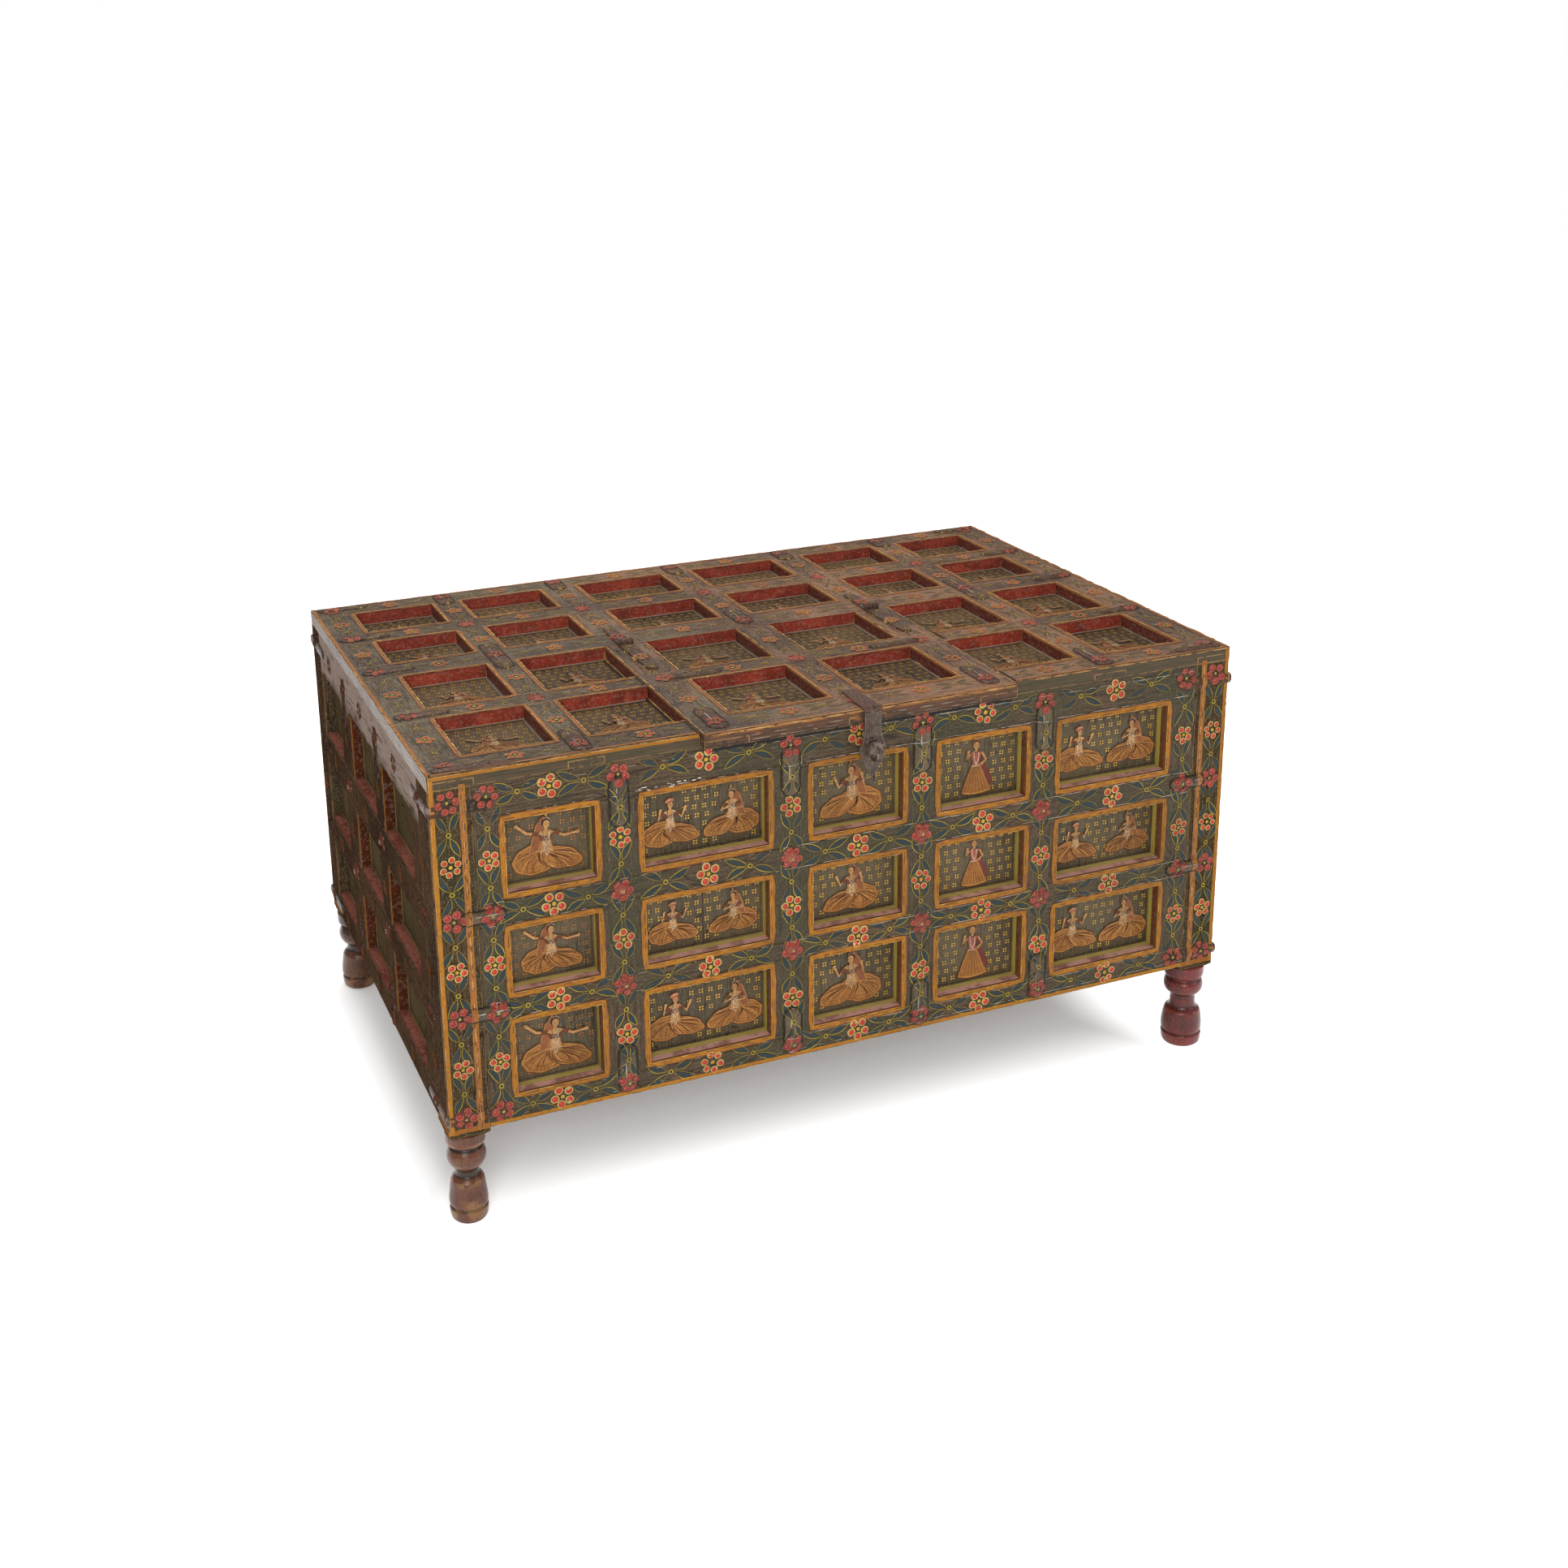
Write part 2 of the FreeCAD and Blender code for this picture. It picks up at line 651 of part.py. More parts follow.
# Lid
def lid():
    """The flap: its halved battens, the boards under them, its straps and its nail."""
    lip_band = (lid_front, front_band[1])
    span = (lid_front, lid_back)
    holes = [shank(top_place, u, v, joint_play) for u, v in lid_nails]
    rails = [halved_rail(top_place, lid_x, band, lid_stiles, top_grid) for band in (lip_band, lid_band)]
    stiles = [halved_stile(top_place, s, span, [lip_band, lid_band], top_grid) for s in lid_stiles]
    board_x = (flap[0] + lid_ledge + lid_gap, flap[1] - lid_ledge - lid_gap)
    board_y = (inside_y[0] + lid_gap, lid_back)
    boards = planks(top_place, board_x, lid_plank_shares, board_y, (top_grid, top_grid + board))
    straps = []
    for stile in (lid_stiles[0], lid_stiles[2]):
        v = (front_y + top_strap_inset, front_band[1] + front_strap_past)
        straps.append(strap_v(top_place, middle(stile), v, broad_strap))
    left_edge, right_edge = lid_stiles[0][1], lid_stiles[2][0]
    for u in (
        (left_edge - lid_strap_out, left_edge + lid_strap_in),
        (right_edge - lid_strap_in, right_edge + lid_strap_out),
    ):
        straps.append(strap_u(top_place, u, middle(lid_band), narrow_strap))
    return {
        "lid_rail_front": [rails[0]],
        "lid_rail_middle": [cut_all(rails[1], holes)],
        "lid_stile_left": [stiles[0]],
        "lid_stile_middle": [cut_all(stiles[1], holes)],
        "lid_stile_right": [stiles[2]],
        "lid_boards": boards,
        "lid_straps": straps,
        "lid_boss": [boss(top_place, u, v) for u, v in lid_nails],
    }


# Knuckle joints
def knuckle_spans(centre, width):
    """The outer pair of knuckles and the middle one, across a leaf."""
    low, high = around(centre, width)
    third = width / 3
    outer = [(low, low + third - knuckle_gap / 2), (high - third + knuckle_gap / 2, high)]
    inner = [(low + third + knuckle_gap / 2, high - third - knuckle_gap / 2)]
    return outer, inner


def rod(spans, y, z, radius):
    """Round stock along X over each of some spans."""
    return [Part.makeCylinder(radius, b - a, Vector(a, y, z), rightward) for a, b in spans]


def rolled(leaf, bridges, spans, y, z, radius, pin_radius):
    """A leaf with its rolled knuckles, bored for the pin."""
    for piece in rod(spans, y, z, radius) + bridges:
        leaf = leaf.fuse(piece)
    return cut_all(leaf, rod(spans, y, z, pin_radius + running_clearance)).removeSplitter()


def hinge_leaf(u, direction, length, spans):
    """A tapered strap leaf that runs from its knuckles to the back (1) or to the front (-1)."""
    near = hinge_y + direction * (knuckle_radius + knuckle_room)
    far = hinge_y + direction * length
    half, tail = hinge_leaf_width / 2, hinge_leaf_width / 2 * hinge_tail_share
    corner_y = far - direction * tail
    plan = Part.Wire([
        line(Vector(u - half, near, chest_height), Vector(u + half, near, chest_height)),
        line(Vector(u + half, near, chest_height), Vector(u + tail, corner_y, chest_height)),
        arc(
            Vector(u + tail, corner_y, chest_height), Vector(u, far, chest_height),
            Vector(u - tail, corner_y, chest_height),
        ),
        line(Vector(u - tail, corner_y, chest_height), Vector(u - half, near, chest_height)),
    ])
    leaf = Part.Face(plan).extrude(upward * hinge_leaf_thickness)
    lift = (-hinge_leaf_thickness, -knuckle_lift)
    bridges = [block(top_place, span, (hinge_y, near), lift) for span in spans]
    return rolled(leaf, bridges, spans, hinge_y, chest_height - hinge_w, knuckle_radius, hinge_pin_radius)


def hinges():
    nodes = {}
    for side, stile in (("left", lid_stiles[0]), ("right", lid_stiles[2])):
        u = middle(stile)
        outer, inner = knuckle_spans(u, hinge_leaf_width)
        nodes[f"hinge_{side}_body_leaf"] = [hinge_leaf(u, 1, hinge_body_length, outer)]
        nodes[f"hinge_{side}_lid_leaf"] = [hinge_leaf(u, -1, hinge_lid_length, inner)]
        pin_span = around(u, hinge_leaf_width + 2 * pin_stands_out)
        nodes[f"hinge_{side}_pin"] = rod([pin_span], hinge_y, chest_height - hinge_w, hinge_pin_radius)
    return nodes


# Hasp and staple
def hasp_strap(spans):
    """The leaf on the lid that carries the hasp: it narrows towards its tail."""
    near = hasp_y + hasp_knuckle_radius + knuckle_room
    far = near + hasp_strap_length
    wide_y = near + hasp_strap_length / 3
    half_top, half_wide, half_tail = hasp_top_width / 2, hasp_strap_width / 2, hasp_strap_width / 3
    corners = [
        (half_top, near), (half_wide, wide_y), (half_tail, far),
        (-half_tail, far), (-half_wide, wide_y), (-half_top, near),
    ]
    leaf = face_of([Vector(hasp_x + x, y, chest_height) for x, y in corners])
    leaf = leaf.extrude(upward * hinge_leaf_thickness)
    bridges = [block(top_place, span, (hasp_y, near), (-hinge_leaf_thickness, 0)) for span in spans]
    return rolled(leaf, bridges, spans, hasp_y, hasp_z, hasp_knuckle_radius, hasp_pin_radius)


def hasp_outline(y):
    """The hasp's plate from the front: straight sides, a round belly and a tip like a leaf."""
    half_top, half_belly, half_neck = hasp_top_width / 2, hasp_belly_width / 2, hasp_neck_width / 2
    top_drop = hasp_knuckle_radius + knuckle_room
    shoulder_drop = middle((hasp_straight, hasp_belly_at))
    shoulder_half = half_top + hasp_shoulder_share * (half_belly - half_top)
    lower_drop = middle((hasp_belly_at, hasp_neck_at))
    lower_half = half_neck + hasp_lower_share * (half_belly - half_neck)

    def at(side, half_width, drop):
        return Vector(hasp_x + side * half_width, y, hasp_z - drop)

    edges = [line(at(-1, half_top, top_drop), at(1, half_top, top_drop))]
    for side in (1, -1):
        straight, belly = at(side, half_top, hasp_straight), at(side, half_belly, hasp_belly_at)
        neck = at(side, half_neck, hasp_neck_at)
        edges += [
            line(at(side, half_top, top_drop), straight),
            arc(straight, at(side, shoulder_half, shoulder_drop), belly),
            arc(belly, at(side, lower_half, lower_drop), neck),
            line(neck, at(side, 0, hasp_length)),
        ]
    return Part.Face(Part.Wire(Part.sortEdges(edges)[0]))


def hasp_profile(x):
    """The hasp's plate from the side: flat, with a tip that curls forward."""
    half = hinge_leaf_thickness / 2
    centre = Vector(x, hasp_y - half - hasp_curl_radius, hasp_z - hasp_curl_at)
    outer = hasp_curl_radius + hinge_leaf_thickness

    def on_curl(radius, turn):
        radial = FreeCAD.Rotation(rightward, -turn).multVec(Vector(0, radius, 0))
        return centre + radial

    front_top = Vector(x, hasp_y - half, hasp_z)
    back_top = Vector(x, hasp_y + half, hasp_z)
    half_turn = hasp_curl_turn / 2
    return Part.Face(Part.Wire([
        line(front_top, back_top),
        line(back_top, on_curl(outer, 0)),
        arc(on_curl(outer, 0), on_curl(outer, half_turn), on_curl(outer, hasp_curl_turn)),
        line(on_curl(outer, hasp_curl_turn), on_curl(hasp_curl_radius, hasp_curl_turn)),
        arc(
            on_curl(hasp_curl_radius, hasp_curl_turn), on_curl(hasp_curl_radius, half_turn),
            on_curl(hasp_curl_radius, 0),
        ),
        line(on_curl(hasp_curl_radius, 0), front_top),
    ]))


def hasp_plate(spans):
    """The swinging plate, with its middle knuckle and the slot that passes over the staple's eye."""
    deep = hasp_curl_radius + hinge_leaf_thickness
    front = hasp_outline(hasp_y - deep).extrude(Vector(0, 2 * deep, 0))
    side = hasp_profile(hasp_x - hasp_belly_width / 2).extrude(rightward * hasp_belly_width)
    plate = front.common(side)
    reach = eye_radius + hasp_slot_room
    slot = block(
        Vector, around(hasp_x, hasp_slot_width), around(hasp_y, 2 * hinge_leaf_thickness),
        (hasp_z - eye_drop - reach, hasp_z - eye_drop + reach),
    )
    top_drop = hasp_knuckle_radius + knuckle_room
    thick = around(hasp_y, hinge_leaf_thickness)
    bridges = [block(Vector, span, thick, (hasp_z - top_drop, hasp_z)) for span in spans]
    return rolled(
        plate.cut(slot), bridges, spans, hasp_y, hasp_z, hasp_knuckle_radius, hasp_pin_radius,
    )


def staple_shank(play):
    """The staple's square shank through the top rail and the boards, grown by play for its hole."""
    thick = staple_shank_width + 2 * play
    w = (-(eye_out - eye_bore_radius), front_grid + board)
    return block(front_place, around(hasp_x, thick), around(staple_z, thick), w)


def staple():
    """A shank that ends in a round eye for the padlock."""
    span = around(hasp_x, staple_thickness)
    y = front_y - eye_out
    eye = rod([span], y, staple_z, eye_radius)[0].fuse(staple_shank(0))
    return cut_all(eye, rod([span], y, staple_z, eye_bore_radius)).removeSplitter()


def hasp_and_staple():
    pin_span = around(hasp_x, hasp_top_width + 2 * pin_stands_out)
    outer, inner = knuckle_spans(hasp_x, hasp_top_width)
    return {
        "hasp_strap": [hasp_strap(outer)],
        "hasp_pin": rod([pin_span], hasp_y, hasp_z, hasp_pin_radius),
        "hasp_plate": [hasp_plate(inner)],
        "staple": [staple()],
    }


def export(nodes):
    os.makedirs("parts", exist_ok=True)
    for name, solids in nodes.items():
        shape = solids[0] if len(solids) == 1 else Part.makeCompound(solids)
        shape.exportStep(os.path.join("parts", name + ".step"))
        count = sum(len(solid.Solids) for solid in solids)
        print(f"{name}: {count} solid(s), valid {shape.isValid()}")
    print(len(nodes), "nodes")


nodes = front_wall()
nodes.update(side_wall("left", left_place))
nodes.update(side_wall("right", right_place))
nodes.update(back_wall())
nodes.update(posts())
nodes["corner_straps"] = [
    corner_strap(x_side, y_side, band)
    for x_side in (-1, 1) for y_side in (-1, 1) for band in (front_rails[0], front_rails[-1])
]
nodes.update(floor())
nodes.update(top_grid_battens())
nodes.update(top_boards())
nodes.update(top_straps())
nodes.update(lid())
nodes.update(hinges())
nodes.update(hasp_and_staple())
export(nodes)
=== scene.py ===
import math
import random
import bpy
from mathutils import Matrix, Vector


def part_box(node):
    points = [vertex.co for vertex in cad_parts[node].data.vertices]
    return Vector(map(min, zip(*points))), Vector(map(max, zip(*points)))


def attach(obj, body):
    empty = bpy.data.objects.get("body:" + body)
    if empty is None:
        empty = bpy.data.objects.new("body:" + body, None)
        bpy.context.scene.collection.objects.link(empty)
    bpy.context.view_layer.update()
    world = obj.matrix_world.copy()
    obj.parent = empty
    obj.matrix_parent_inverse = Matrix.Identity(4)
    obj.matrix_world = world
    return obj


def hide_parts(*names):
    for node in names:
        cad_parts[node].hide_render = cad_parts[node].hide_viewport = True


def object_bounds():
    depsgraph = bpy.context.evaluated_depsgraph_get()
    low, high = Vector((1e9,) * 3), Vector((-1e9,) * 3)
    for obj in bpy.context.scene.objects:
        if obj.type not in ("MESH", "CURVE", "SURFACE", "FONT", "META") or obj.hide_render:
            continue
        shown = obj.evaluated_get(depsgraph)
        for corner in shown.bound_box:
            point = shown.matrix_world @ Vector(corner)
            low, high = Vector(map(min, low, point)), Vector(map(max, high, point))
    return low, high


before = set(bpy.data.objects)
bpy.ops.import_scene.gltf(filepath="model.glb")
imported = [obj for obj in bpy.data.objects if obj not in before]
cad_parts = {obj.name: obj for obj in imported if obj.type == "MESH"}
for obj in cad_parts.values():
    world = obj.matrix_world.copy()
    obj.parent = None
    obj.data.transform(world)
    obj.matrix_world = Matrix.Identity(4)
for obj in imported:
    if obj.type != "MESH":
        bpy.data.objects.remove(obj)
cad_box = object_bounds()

from types import SimpleNamespace

import bmesh
import bpy
from mathutils import Vector, noise
from mathutils.bvhtree import BVHTree

# The looks of a coffered chest: old painted wood, forged iron and turned legs, with flowers and figures laid
# on the wood as thin coloured faces. Metres. +X runs to the right, +Y to the back and +Z up.
mm = 0.001
X, Y, Z = Vector((1, 0, 0)), Vector((0, 1, 0)), Vector((0, 0, 1))
dice = random.Random(7)

# Borders, lines, flowers and leaves
border_width = 7.6 * mm
thin_border_width = 6 * mm
edge_line_width = 4.5 * mm
edge_inset = edge_line_width / 2 + 1 * mm
rosette_radius = 16 * mm
plain_rosette = rosette_radius * 0.95
small_rosette = 12.5 * mm
leaf_length = 32 * mm
leaf_width = 9 * mm
ring_radius = 3.4 * mm
ring_hole = 1.9 * mm
leaf_start = 4.2 * mm
flat_sprig = math.radians(24)
steep_sprig = math.radians(62)

# Small marks and figures in the fields
motif_pitch = 12.5 * mm
motif_dot = 1.15 * mm
motif_spread = 1.75 * mm
field_inset = 5 * mm
field_margin = 1.2 * mm
front_figure_share = 0.86
top_figure_share = 0.46

# How the paint lies: thickness of a coat, and the step at which a stroke no longer spans a hollow
weld = 0.01 * mm
coat = 0.08 * mm
deepest_step = 30 * mm
ground_level, line_level, figure_level, overlay_level = 4, 5, 16, 14

# Share of the wood's own tone in each kind of painting
front_fade = 0.05
figure_fade = 0.10
top_fade = 0.22
top_sprig_fade = 0.34
top_figure_fade = 0.36
top_motif_fade = 0.45
border_fade = 0.12
side_fade = 0.76
side_motif_fade = 0.80

# Shares of the front's length where painted bands and their flowers stand, and where painted bead highlights
# grow denser
outer_flower_share = 0.0200
inner_flower_share = 0.0620
worn_band_share = 0.0365
glint_share = 0.40
worn_band_width = 9 * mm
bead_inset = 9 * mm
lid_shadow = 8 * mm
lid_slit = 3.2 * mm
rim_depth = 1.0 * mm

# Heights where the painted sheen of the left side comes in, and lengths where the top turns from olive to
# brown
sheen_from = 545 * mm
sheen_full = 580 * mm
olive_until = 200 * mm
brown_from = 520 * mm

# Iron
strap_rise = 3.2 * mm
front_strap_rise = 5.0 * mm
strap_margin = 0.9 * mm
sunk = 0.6 * mm
curve_steps = 10
strap_steps = 18
nose_steps = 5

# Posts and legs, as in the chest's own frame
leg_height = 122 * mm
leg_radius = 27 * mm
post_width = 52 * mm
post_depth = 54 * mm
post_chamfer = 4.5 * mm
arris = 1.1 * mm
post_rows = 40
swell_reach = 7
leg_sides = 64

# Turned outlines: shares of the leg's radius and of its height
ball_leg_shares = (
    (0.80, 0.0), (0.90, 0.03), (0.95, 0.12), (0.87, 0.145), (0.95, 0.18), (0.95, 0.24), (0.90, 0.33),
    (0.83, 0.43), (0.70, 0.475), (0.60, 0.50), (0.57, 0.54), (0.63, 0.575), (0.82, 0.62), (0.95, 0.68),
    (0.96, 0.74), (0.85, 0.80), (0.74, 0.835), (0.90, 0.86), (0.97, 0.885), (0.99, 1.0),
)
ring_leg_shares = (
    (0.86, 0.0), (0.95, 0.03), (0.99, 0.12), (0.91, 0.145), (0.99, 0.18), (0.97, 0.30), (0.88, 0.41),
    (0.70, 0.45), (0.63, 0.50), (0.63, 0.60), (0.72, 0.635), (0.90, 0.67), (0.97, 0.73), (0.92, 0.79),
    (0.80, 0.83), (0.92, 0.86), (0.97, 0.89), (0.99, 1.0),
)
legs = {
    "front_left": (ball_leg_shares, 0.95, "leg_brown"),
    "front_right": (ring_leg_shares, 1.06, "leg_red"),
    "back_left": (ball_leg_shares, 1.0, "leg_brown"),
    "back_right": (ball_leg_shares, 0.98, "leg_brown"),
}


# Colours
def tone(code):
    """A colour written as six hex digits, in linear light."""
    parts = [int(code[i:i + 2], 16) / 255 for i in (0, 2, 4)]
    return tuple(c / 12.92 if c <= 0.04045 else ((c + 0.055) / 1.055) ** 2.4 for c in parts)


def blend_tones(a, b, share):
    return tuple(p + (q - p) * share for p, q in zip(a, b))


# Some tones stand for light: gap is painted shade in slits and under the lid, sheen a painted reflection, eye
# the painted light on the staple's ring, and the near-white of the bead glints a painted highlight; dust also
# lends its tone to painted highlights
palette = dict(
    olive="413b27", olive_dark="2e2d22", olive_brown="584431", top="8c6549", top_olive="625a45",
    top_dark="4a3527", top_rim="a06a3c", side="523e2d", side_dark="3c2a1f", side_jamb="4a2614",
    side_sill="8d5344", wall_bright="a8482e", oxblood="8e3424", oxblood_dark="5c271c", jamb="6b4222",
    sill="d6a292", moss="beac52", field="5b4e37", field_dark="4a3f2b", top_field="5b4834",
    top_field_dark="3d2f23", ochre="ae721e", ochre_worn="a06630", cream="cbb068", yellow="cfa72e",
    dot="e8b84a", dull_dot="b0743c", petal="c23c30", petal_light="dc7a62", brick="9c352c",
    brick_light="c06a58", muted_rim="b09a4c", salmon="a85a4a", salmon_dark="70302a", leaf="233439",
    leaf_line="ae982f", leaf_faint="7d7036", robe="ad7439", robe_light="d09a55", robe_dark="6a3a20",
    skin="c08e58", veil="965a38", bead="e8dcc0", hair="2c211a", gap="0c0806", glint_white="e6e0d2",
    wear="c0925a", dust="a79a8b", sheen="a28f84", edge_wood="5a3e2c", raw="8a6a4a", raw_dark="5f452e",
    strap="62513b", strap_top="583a2c", strap_side="4a2f26", iron="4b3d34", eye="84766b",
    iron_light="b0a399", leg="6a3c26", leg_dark="2a160e", leg_red="8c3631", leg_red_dark="501e1b",
)
tones = {name: tone(code) for name, code in palette.items()}


# Reading the frame
def span(points):
    return [(min(p[i] for p in points), max(p[i] for p in points)) for i in range(3)]


def loose_boxes(node):
    """The extents of each separate solid of a node, in a fixed order."""
    mesh = bmesh.new()
    mesh.from_mesh(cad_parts[node].data)
    bmesh.ops.remove_doubles(mesh, verts=mesh.verts, dist=weld)
    waiting = set(mesh.verts)
    boxes = []
    while waiting:
        stack = [waiting.pop()]
        group = []
        while stack:
            corner = stack.pop()
            group.append(corner.co.copy())
            for edge in corner.link_edges:
                other = edge.other_vert(corner)
                if other in waiting:
                    waiting.discard(other)
                    stack.append(other)
        boxes.append(span(group))
    mesh.free()
    return sorted(boxes, key=lambda b: [round(side[0], 4) for side in b])


def intervals(nodes, axis):
    return sorted(box[axis] for node in nodes for box in loose_boxes(node))


def gaps_between(taken, least=20 * mm):
    """The free stretches between sorted intervals."""
    found = []
    end = taken[0][1]
    for low, high in taken[1:]:
        if low - end > least:
            found.append((end, low))
        end = max(end, high)
    return found


def merged(taken):
    """Intervals that touch or overlap, joined."""
    out = []
    for low, high in sorted(taken):
        if out and low <= out[-1][1] + weld:
            out[-1] = (out[-1][0], max(out[-1][1], high))
        else:
            out.append((low, high))
    return out


def middle(pair):
    return (pair[0] + pair[1]) / 2


def middles(pairs):
    return [middle(pair) for pair in pairs]


def nodes_named(*names):
    return [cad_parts[name] for name in names]


left_x, right_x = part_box("top_rail_back")[0].x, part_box("top_rail_back")[1].x
front_y, back_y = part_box("front_rail_top")[0].y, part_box("top_rail_back")[1].y
top_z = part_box("top_rail_back")[1].z
skirt_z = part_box("front_rail_bottom")[0].z
lid_front_y, lid_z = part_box("lid_rail_front")[0].y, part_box("lid_rail_front")[0].z
lid_x = (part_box("lid_rail_front")[0].x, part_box("lid_rail_front")[1].x)
hinge_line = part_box("top_rail_hinge")[0].y
length = right_x - left_x

# What each painted side of the chest looks like: its plane and the depth of its coffers, tones of the face
# and its stains, of coffer walls painted as in shade and as lit, of the strip along the field and of worn
# edges
sides = {
    "front": SimpleNamespace(
        axis=1, sign=-1.0, plane=abs(front_y), depth=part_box("front_boards")[0].y - front_y,
        face="olive", dull="olive_brown", wall="jamb", lit_wall="sill", strip="moss", strip_share=0.56,
        edge="edge_wood", edge_share=0.4, pale=0.18, rough=(0.34, 0.58), gloss=0.17),
    "top": SimpleNamespace(
        axis=2, sign=1.0, plane=top_z, depth=top_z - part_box("top_boards")[1].z,
        face="top", dull="top_dark", wall="oxblood_dark", lit_wall="oxblood", strip="dust", strip_share=0.92,
        edge="wear", edge_share=0.9, pale=0.42, rough=(0.30, 0.55), gloss=0.20),
    "side": SimpleNamespace(
        axis=0, plane=abs(left_x), depth=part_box("left_boards")[0].x - left_x,
        face="side", dull="side_dark", wall="side_jamb", lit_wall="side_sill", strip="leaf_faint",
        strip_share=0.90, edge="dust", edge_share=0.5, pale=0.14, rough=(0.55, 0.75), gloss=0.0),
}


# Materials
class Paintbox:
    """A material under construction: small helpers that add and join its nodes."""

    def __init__(self, name):
        self.material = bpy.data.materials.new(name)
        self.material.use_nodes = True
        self.tree = self.material.node_tree
        self.shader = self.tree.nodes["Principled BSDF"]
        coords = self.tree.nodes.new("ShaderNodeTexCoord")
        self.coords = coords.outputs["Object"]
        self.place = self.node("ShaderNodeSeparateXYZ", {0: self.coords}).outputs
        self.facing = self.node("ShaderNodeSeparateXYZ", {0: coords.outputs["Normal"]}).outputs

    def feed(self, socket, value):
        """Joins or sets an input; a word stands for the tone of that name."""
        if isinstance(value, str):
            value = tones[value]
        if isinstance(value, bpy.types.NodeSocket):
            self.tree.links.new(value, socket)
        elif isinstance(value, tuple) and len(value) == 3 and len(socket.default_value) == 4:
            socket.default_value = (*value, 1)
        else:
            socket.default_value = value

    def node(self, kind, inputs=(), **settings):
        made = self.tree.nodes.new(kind)
        for name, value in settings.items():
            setattr(made, name, value)
        for key, value in dict(inputs).items():
            self.feed(made.inputs[key], value)
        return made

    def math(self, operation, a, b=0.0):
        return self.node("ShaderNodeMath", {0: a, 1: b}, operation=operation).outputs[0]

    def times(self, a, b):
        return self.math("MULTIPLY", a, b)

    def plus(self, a, b):
        return self.math("ADD", a, b)

    def step(self, value, low, high):
        """0 at low and 1 at high, smooth between and level beyond; low may be the larger."""
        made = self.node("ShaderNodeMapRange", {"Value": value, "From Min": low, "From Max": high})
        made.interpolation_type = "SMOOTHSTEP"
        return made.outputs["Result"]

    def mix(self, share, a, b):
        made = self.node("ShaderNodeMix", data_type="RGBA")
        self.feed(made.inputs["Factor"], share)
        self.feed(made.inputs[6], a)
        self.feed(made.inputs[7], b)
        return made.outputs[2]

    def tint(self, colour, other, mask, share):
        """A colour with another laid over it where the mask is 1, as thickly as the share says."""
        return self.mix(self.times(mask, share), colour, other)

    def noise(self, scale, detail=3.0, stretch=(1, 1, 1), roughness=0.55):
        mapped = self.node("ShaderNodeMapping", {"Vector": self.coords, "Scale": stretch})
        made = self.node("ShaderNodeTexNoise", {"Vector": mapped.outputs[0], "Scale": scale, "Detail": detail,
                                                "Roughness": roughness})
        return made.outputs["Fac"]

    def cells(self, scale, stretch):
        """Distance to the edges of an irregular net."""
        mapped = self.node("ShaderNodeMapping", {"Vector": self.coords, "Scale": stretch})
        made = self.node("ShaderNodeTexVoronoi", {"Vector": mapped.outputs[0], "Scale": scale},
                         feature="DISTANCE_TO_EDGE")
        return made.outputs["Distance"]

    def edges(self, radius, low, high):
        """1 on the sharp edges of the piece, 0 on its flats."""
        rounded = self.node("ShaderNodeBevel", {"Radius": radius}, samples=3)
        plain = self.node("ShaderNodeNewGeometry")
        agree = self.node("ShaderNodeVectorMath", {0: rounded.outputs[0], 1: plain.outputs["True Normal"]},
                          operation="DOT_PRODUCT")
        return self.step(agree.outputs["Value"], high, low)

    def finish(self, colour, rough, height, strength=0.55, relief=0.8 * mm, gloss=0.28):
        """Joins the colour, a roughness that wanders between two limits, and the relief to the shader."""
        wander = self.node("ShaderNodeMapRange", {"Value": self.noise(16, 4), "To Min": rough[0],
                                                  "To Max": rough[1]})
        bump = self.node("ShaderNodeBump", {"Height": height, "Strength": strength, "Distance": relief})
        self.feed(self.shader.inputs["Base Color"], colour)
        self.feed(self.shader.inputs["Roughness"], wander.outputs["Result"])
        self.feed(self.shader.inputs["Normal"], bump.outputs[0])
        self.shader.inputs["Specular IOR Level"].default_value = gloss
        return self.material


grains = {"X": (1, 12, 12), "Y": (12, 1, 12), "Z": (12, 12, 1)}


def aged(box, colour, grain, dull, streak=0.7, pale=0.34):
    """Uneven colour: broad stains, streaks along the grain, dark cracks and pale scratches."""
    fibre = box.noise(22, 6, grains[grain], 0.7)
    grit = box.noise(330, 3, roughness=0.7)
    colour = box.tint(colour, dull, box.step(box.noise(6, 5, roughness=0.62), 0.40, 0.64), 0.85)
    colour = box.tint(colour, "hair", box.step(fibre, 0.47, 0.66), streak)
    colour = box.tint(colour, "dust", box.step(box.noise(80, 4, grains[grain], 0.7), 0.57, 0.66), pale)
    colour = box.tint(colour, "hair", box.step(grit, 0.54, 0.66), streak * 0.6)
    colour = box.tint(colour, "dust", box.step(grit, 0.45, 0.34), pale * 0.8)
    gap = box.times(box.step(box.cells(11, grains[grain]), 0.035, 0.0), box.step(box.noise(6, 3), 0.46, 0.56))
    return box.mix(gap, colour, "hair"), fibre, gap


def wood_height(box, fibre, gap):
    """Relief of old wood: grain, tool marks and cracks."""
    raised = box.plus(box.times(fibre, 1.3), box.times(box.noise(55, 3), 0.45))
    return box.math("SUBTRACT", raised, box.times(gap, 0.6))


def seen_from(box, side):
    """How far the surface faces a side's way, and its depth below that side; left and right are one."""
    facing, place = box.facing[side.axis], box.place[side.axis]
    if side.axis == 0:
        facing, place = box.math("ABSOLUTE", facing), box.math("ABSOLUTE", place)
    else:
        facing, place = box.times(facing, side.sign), box.times(place, side.sign)
    return facing, box.math("SUBTRACT", side.plane, place)


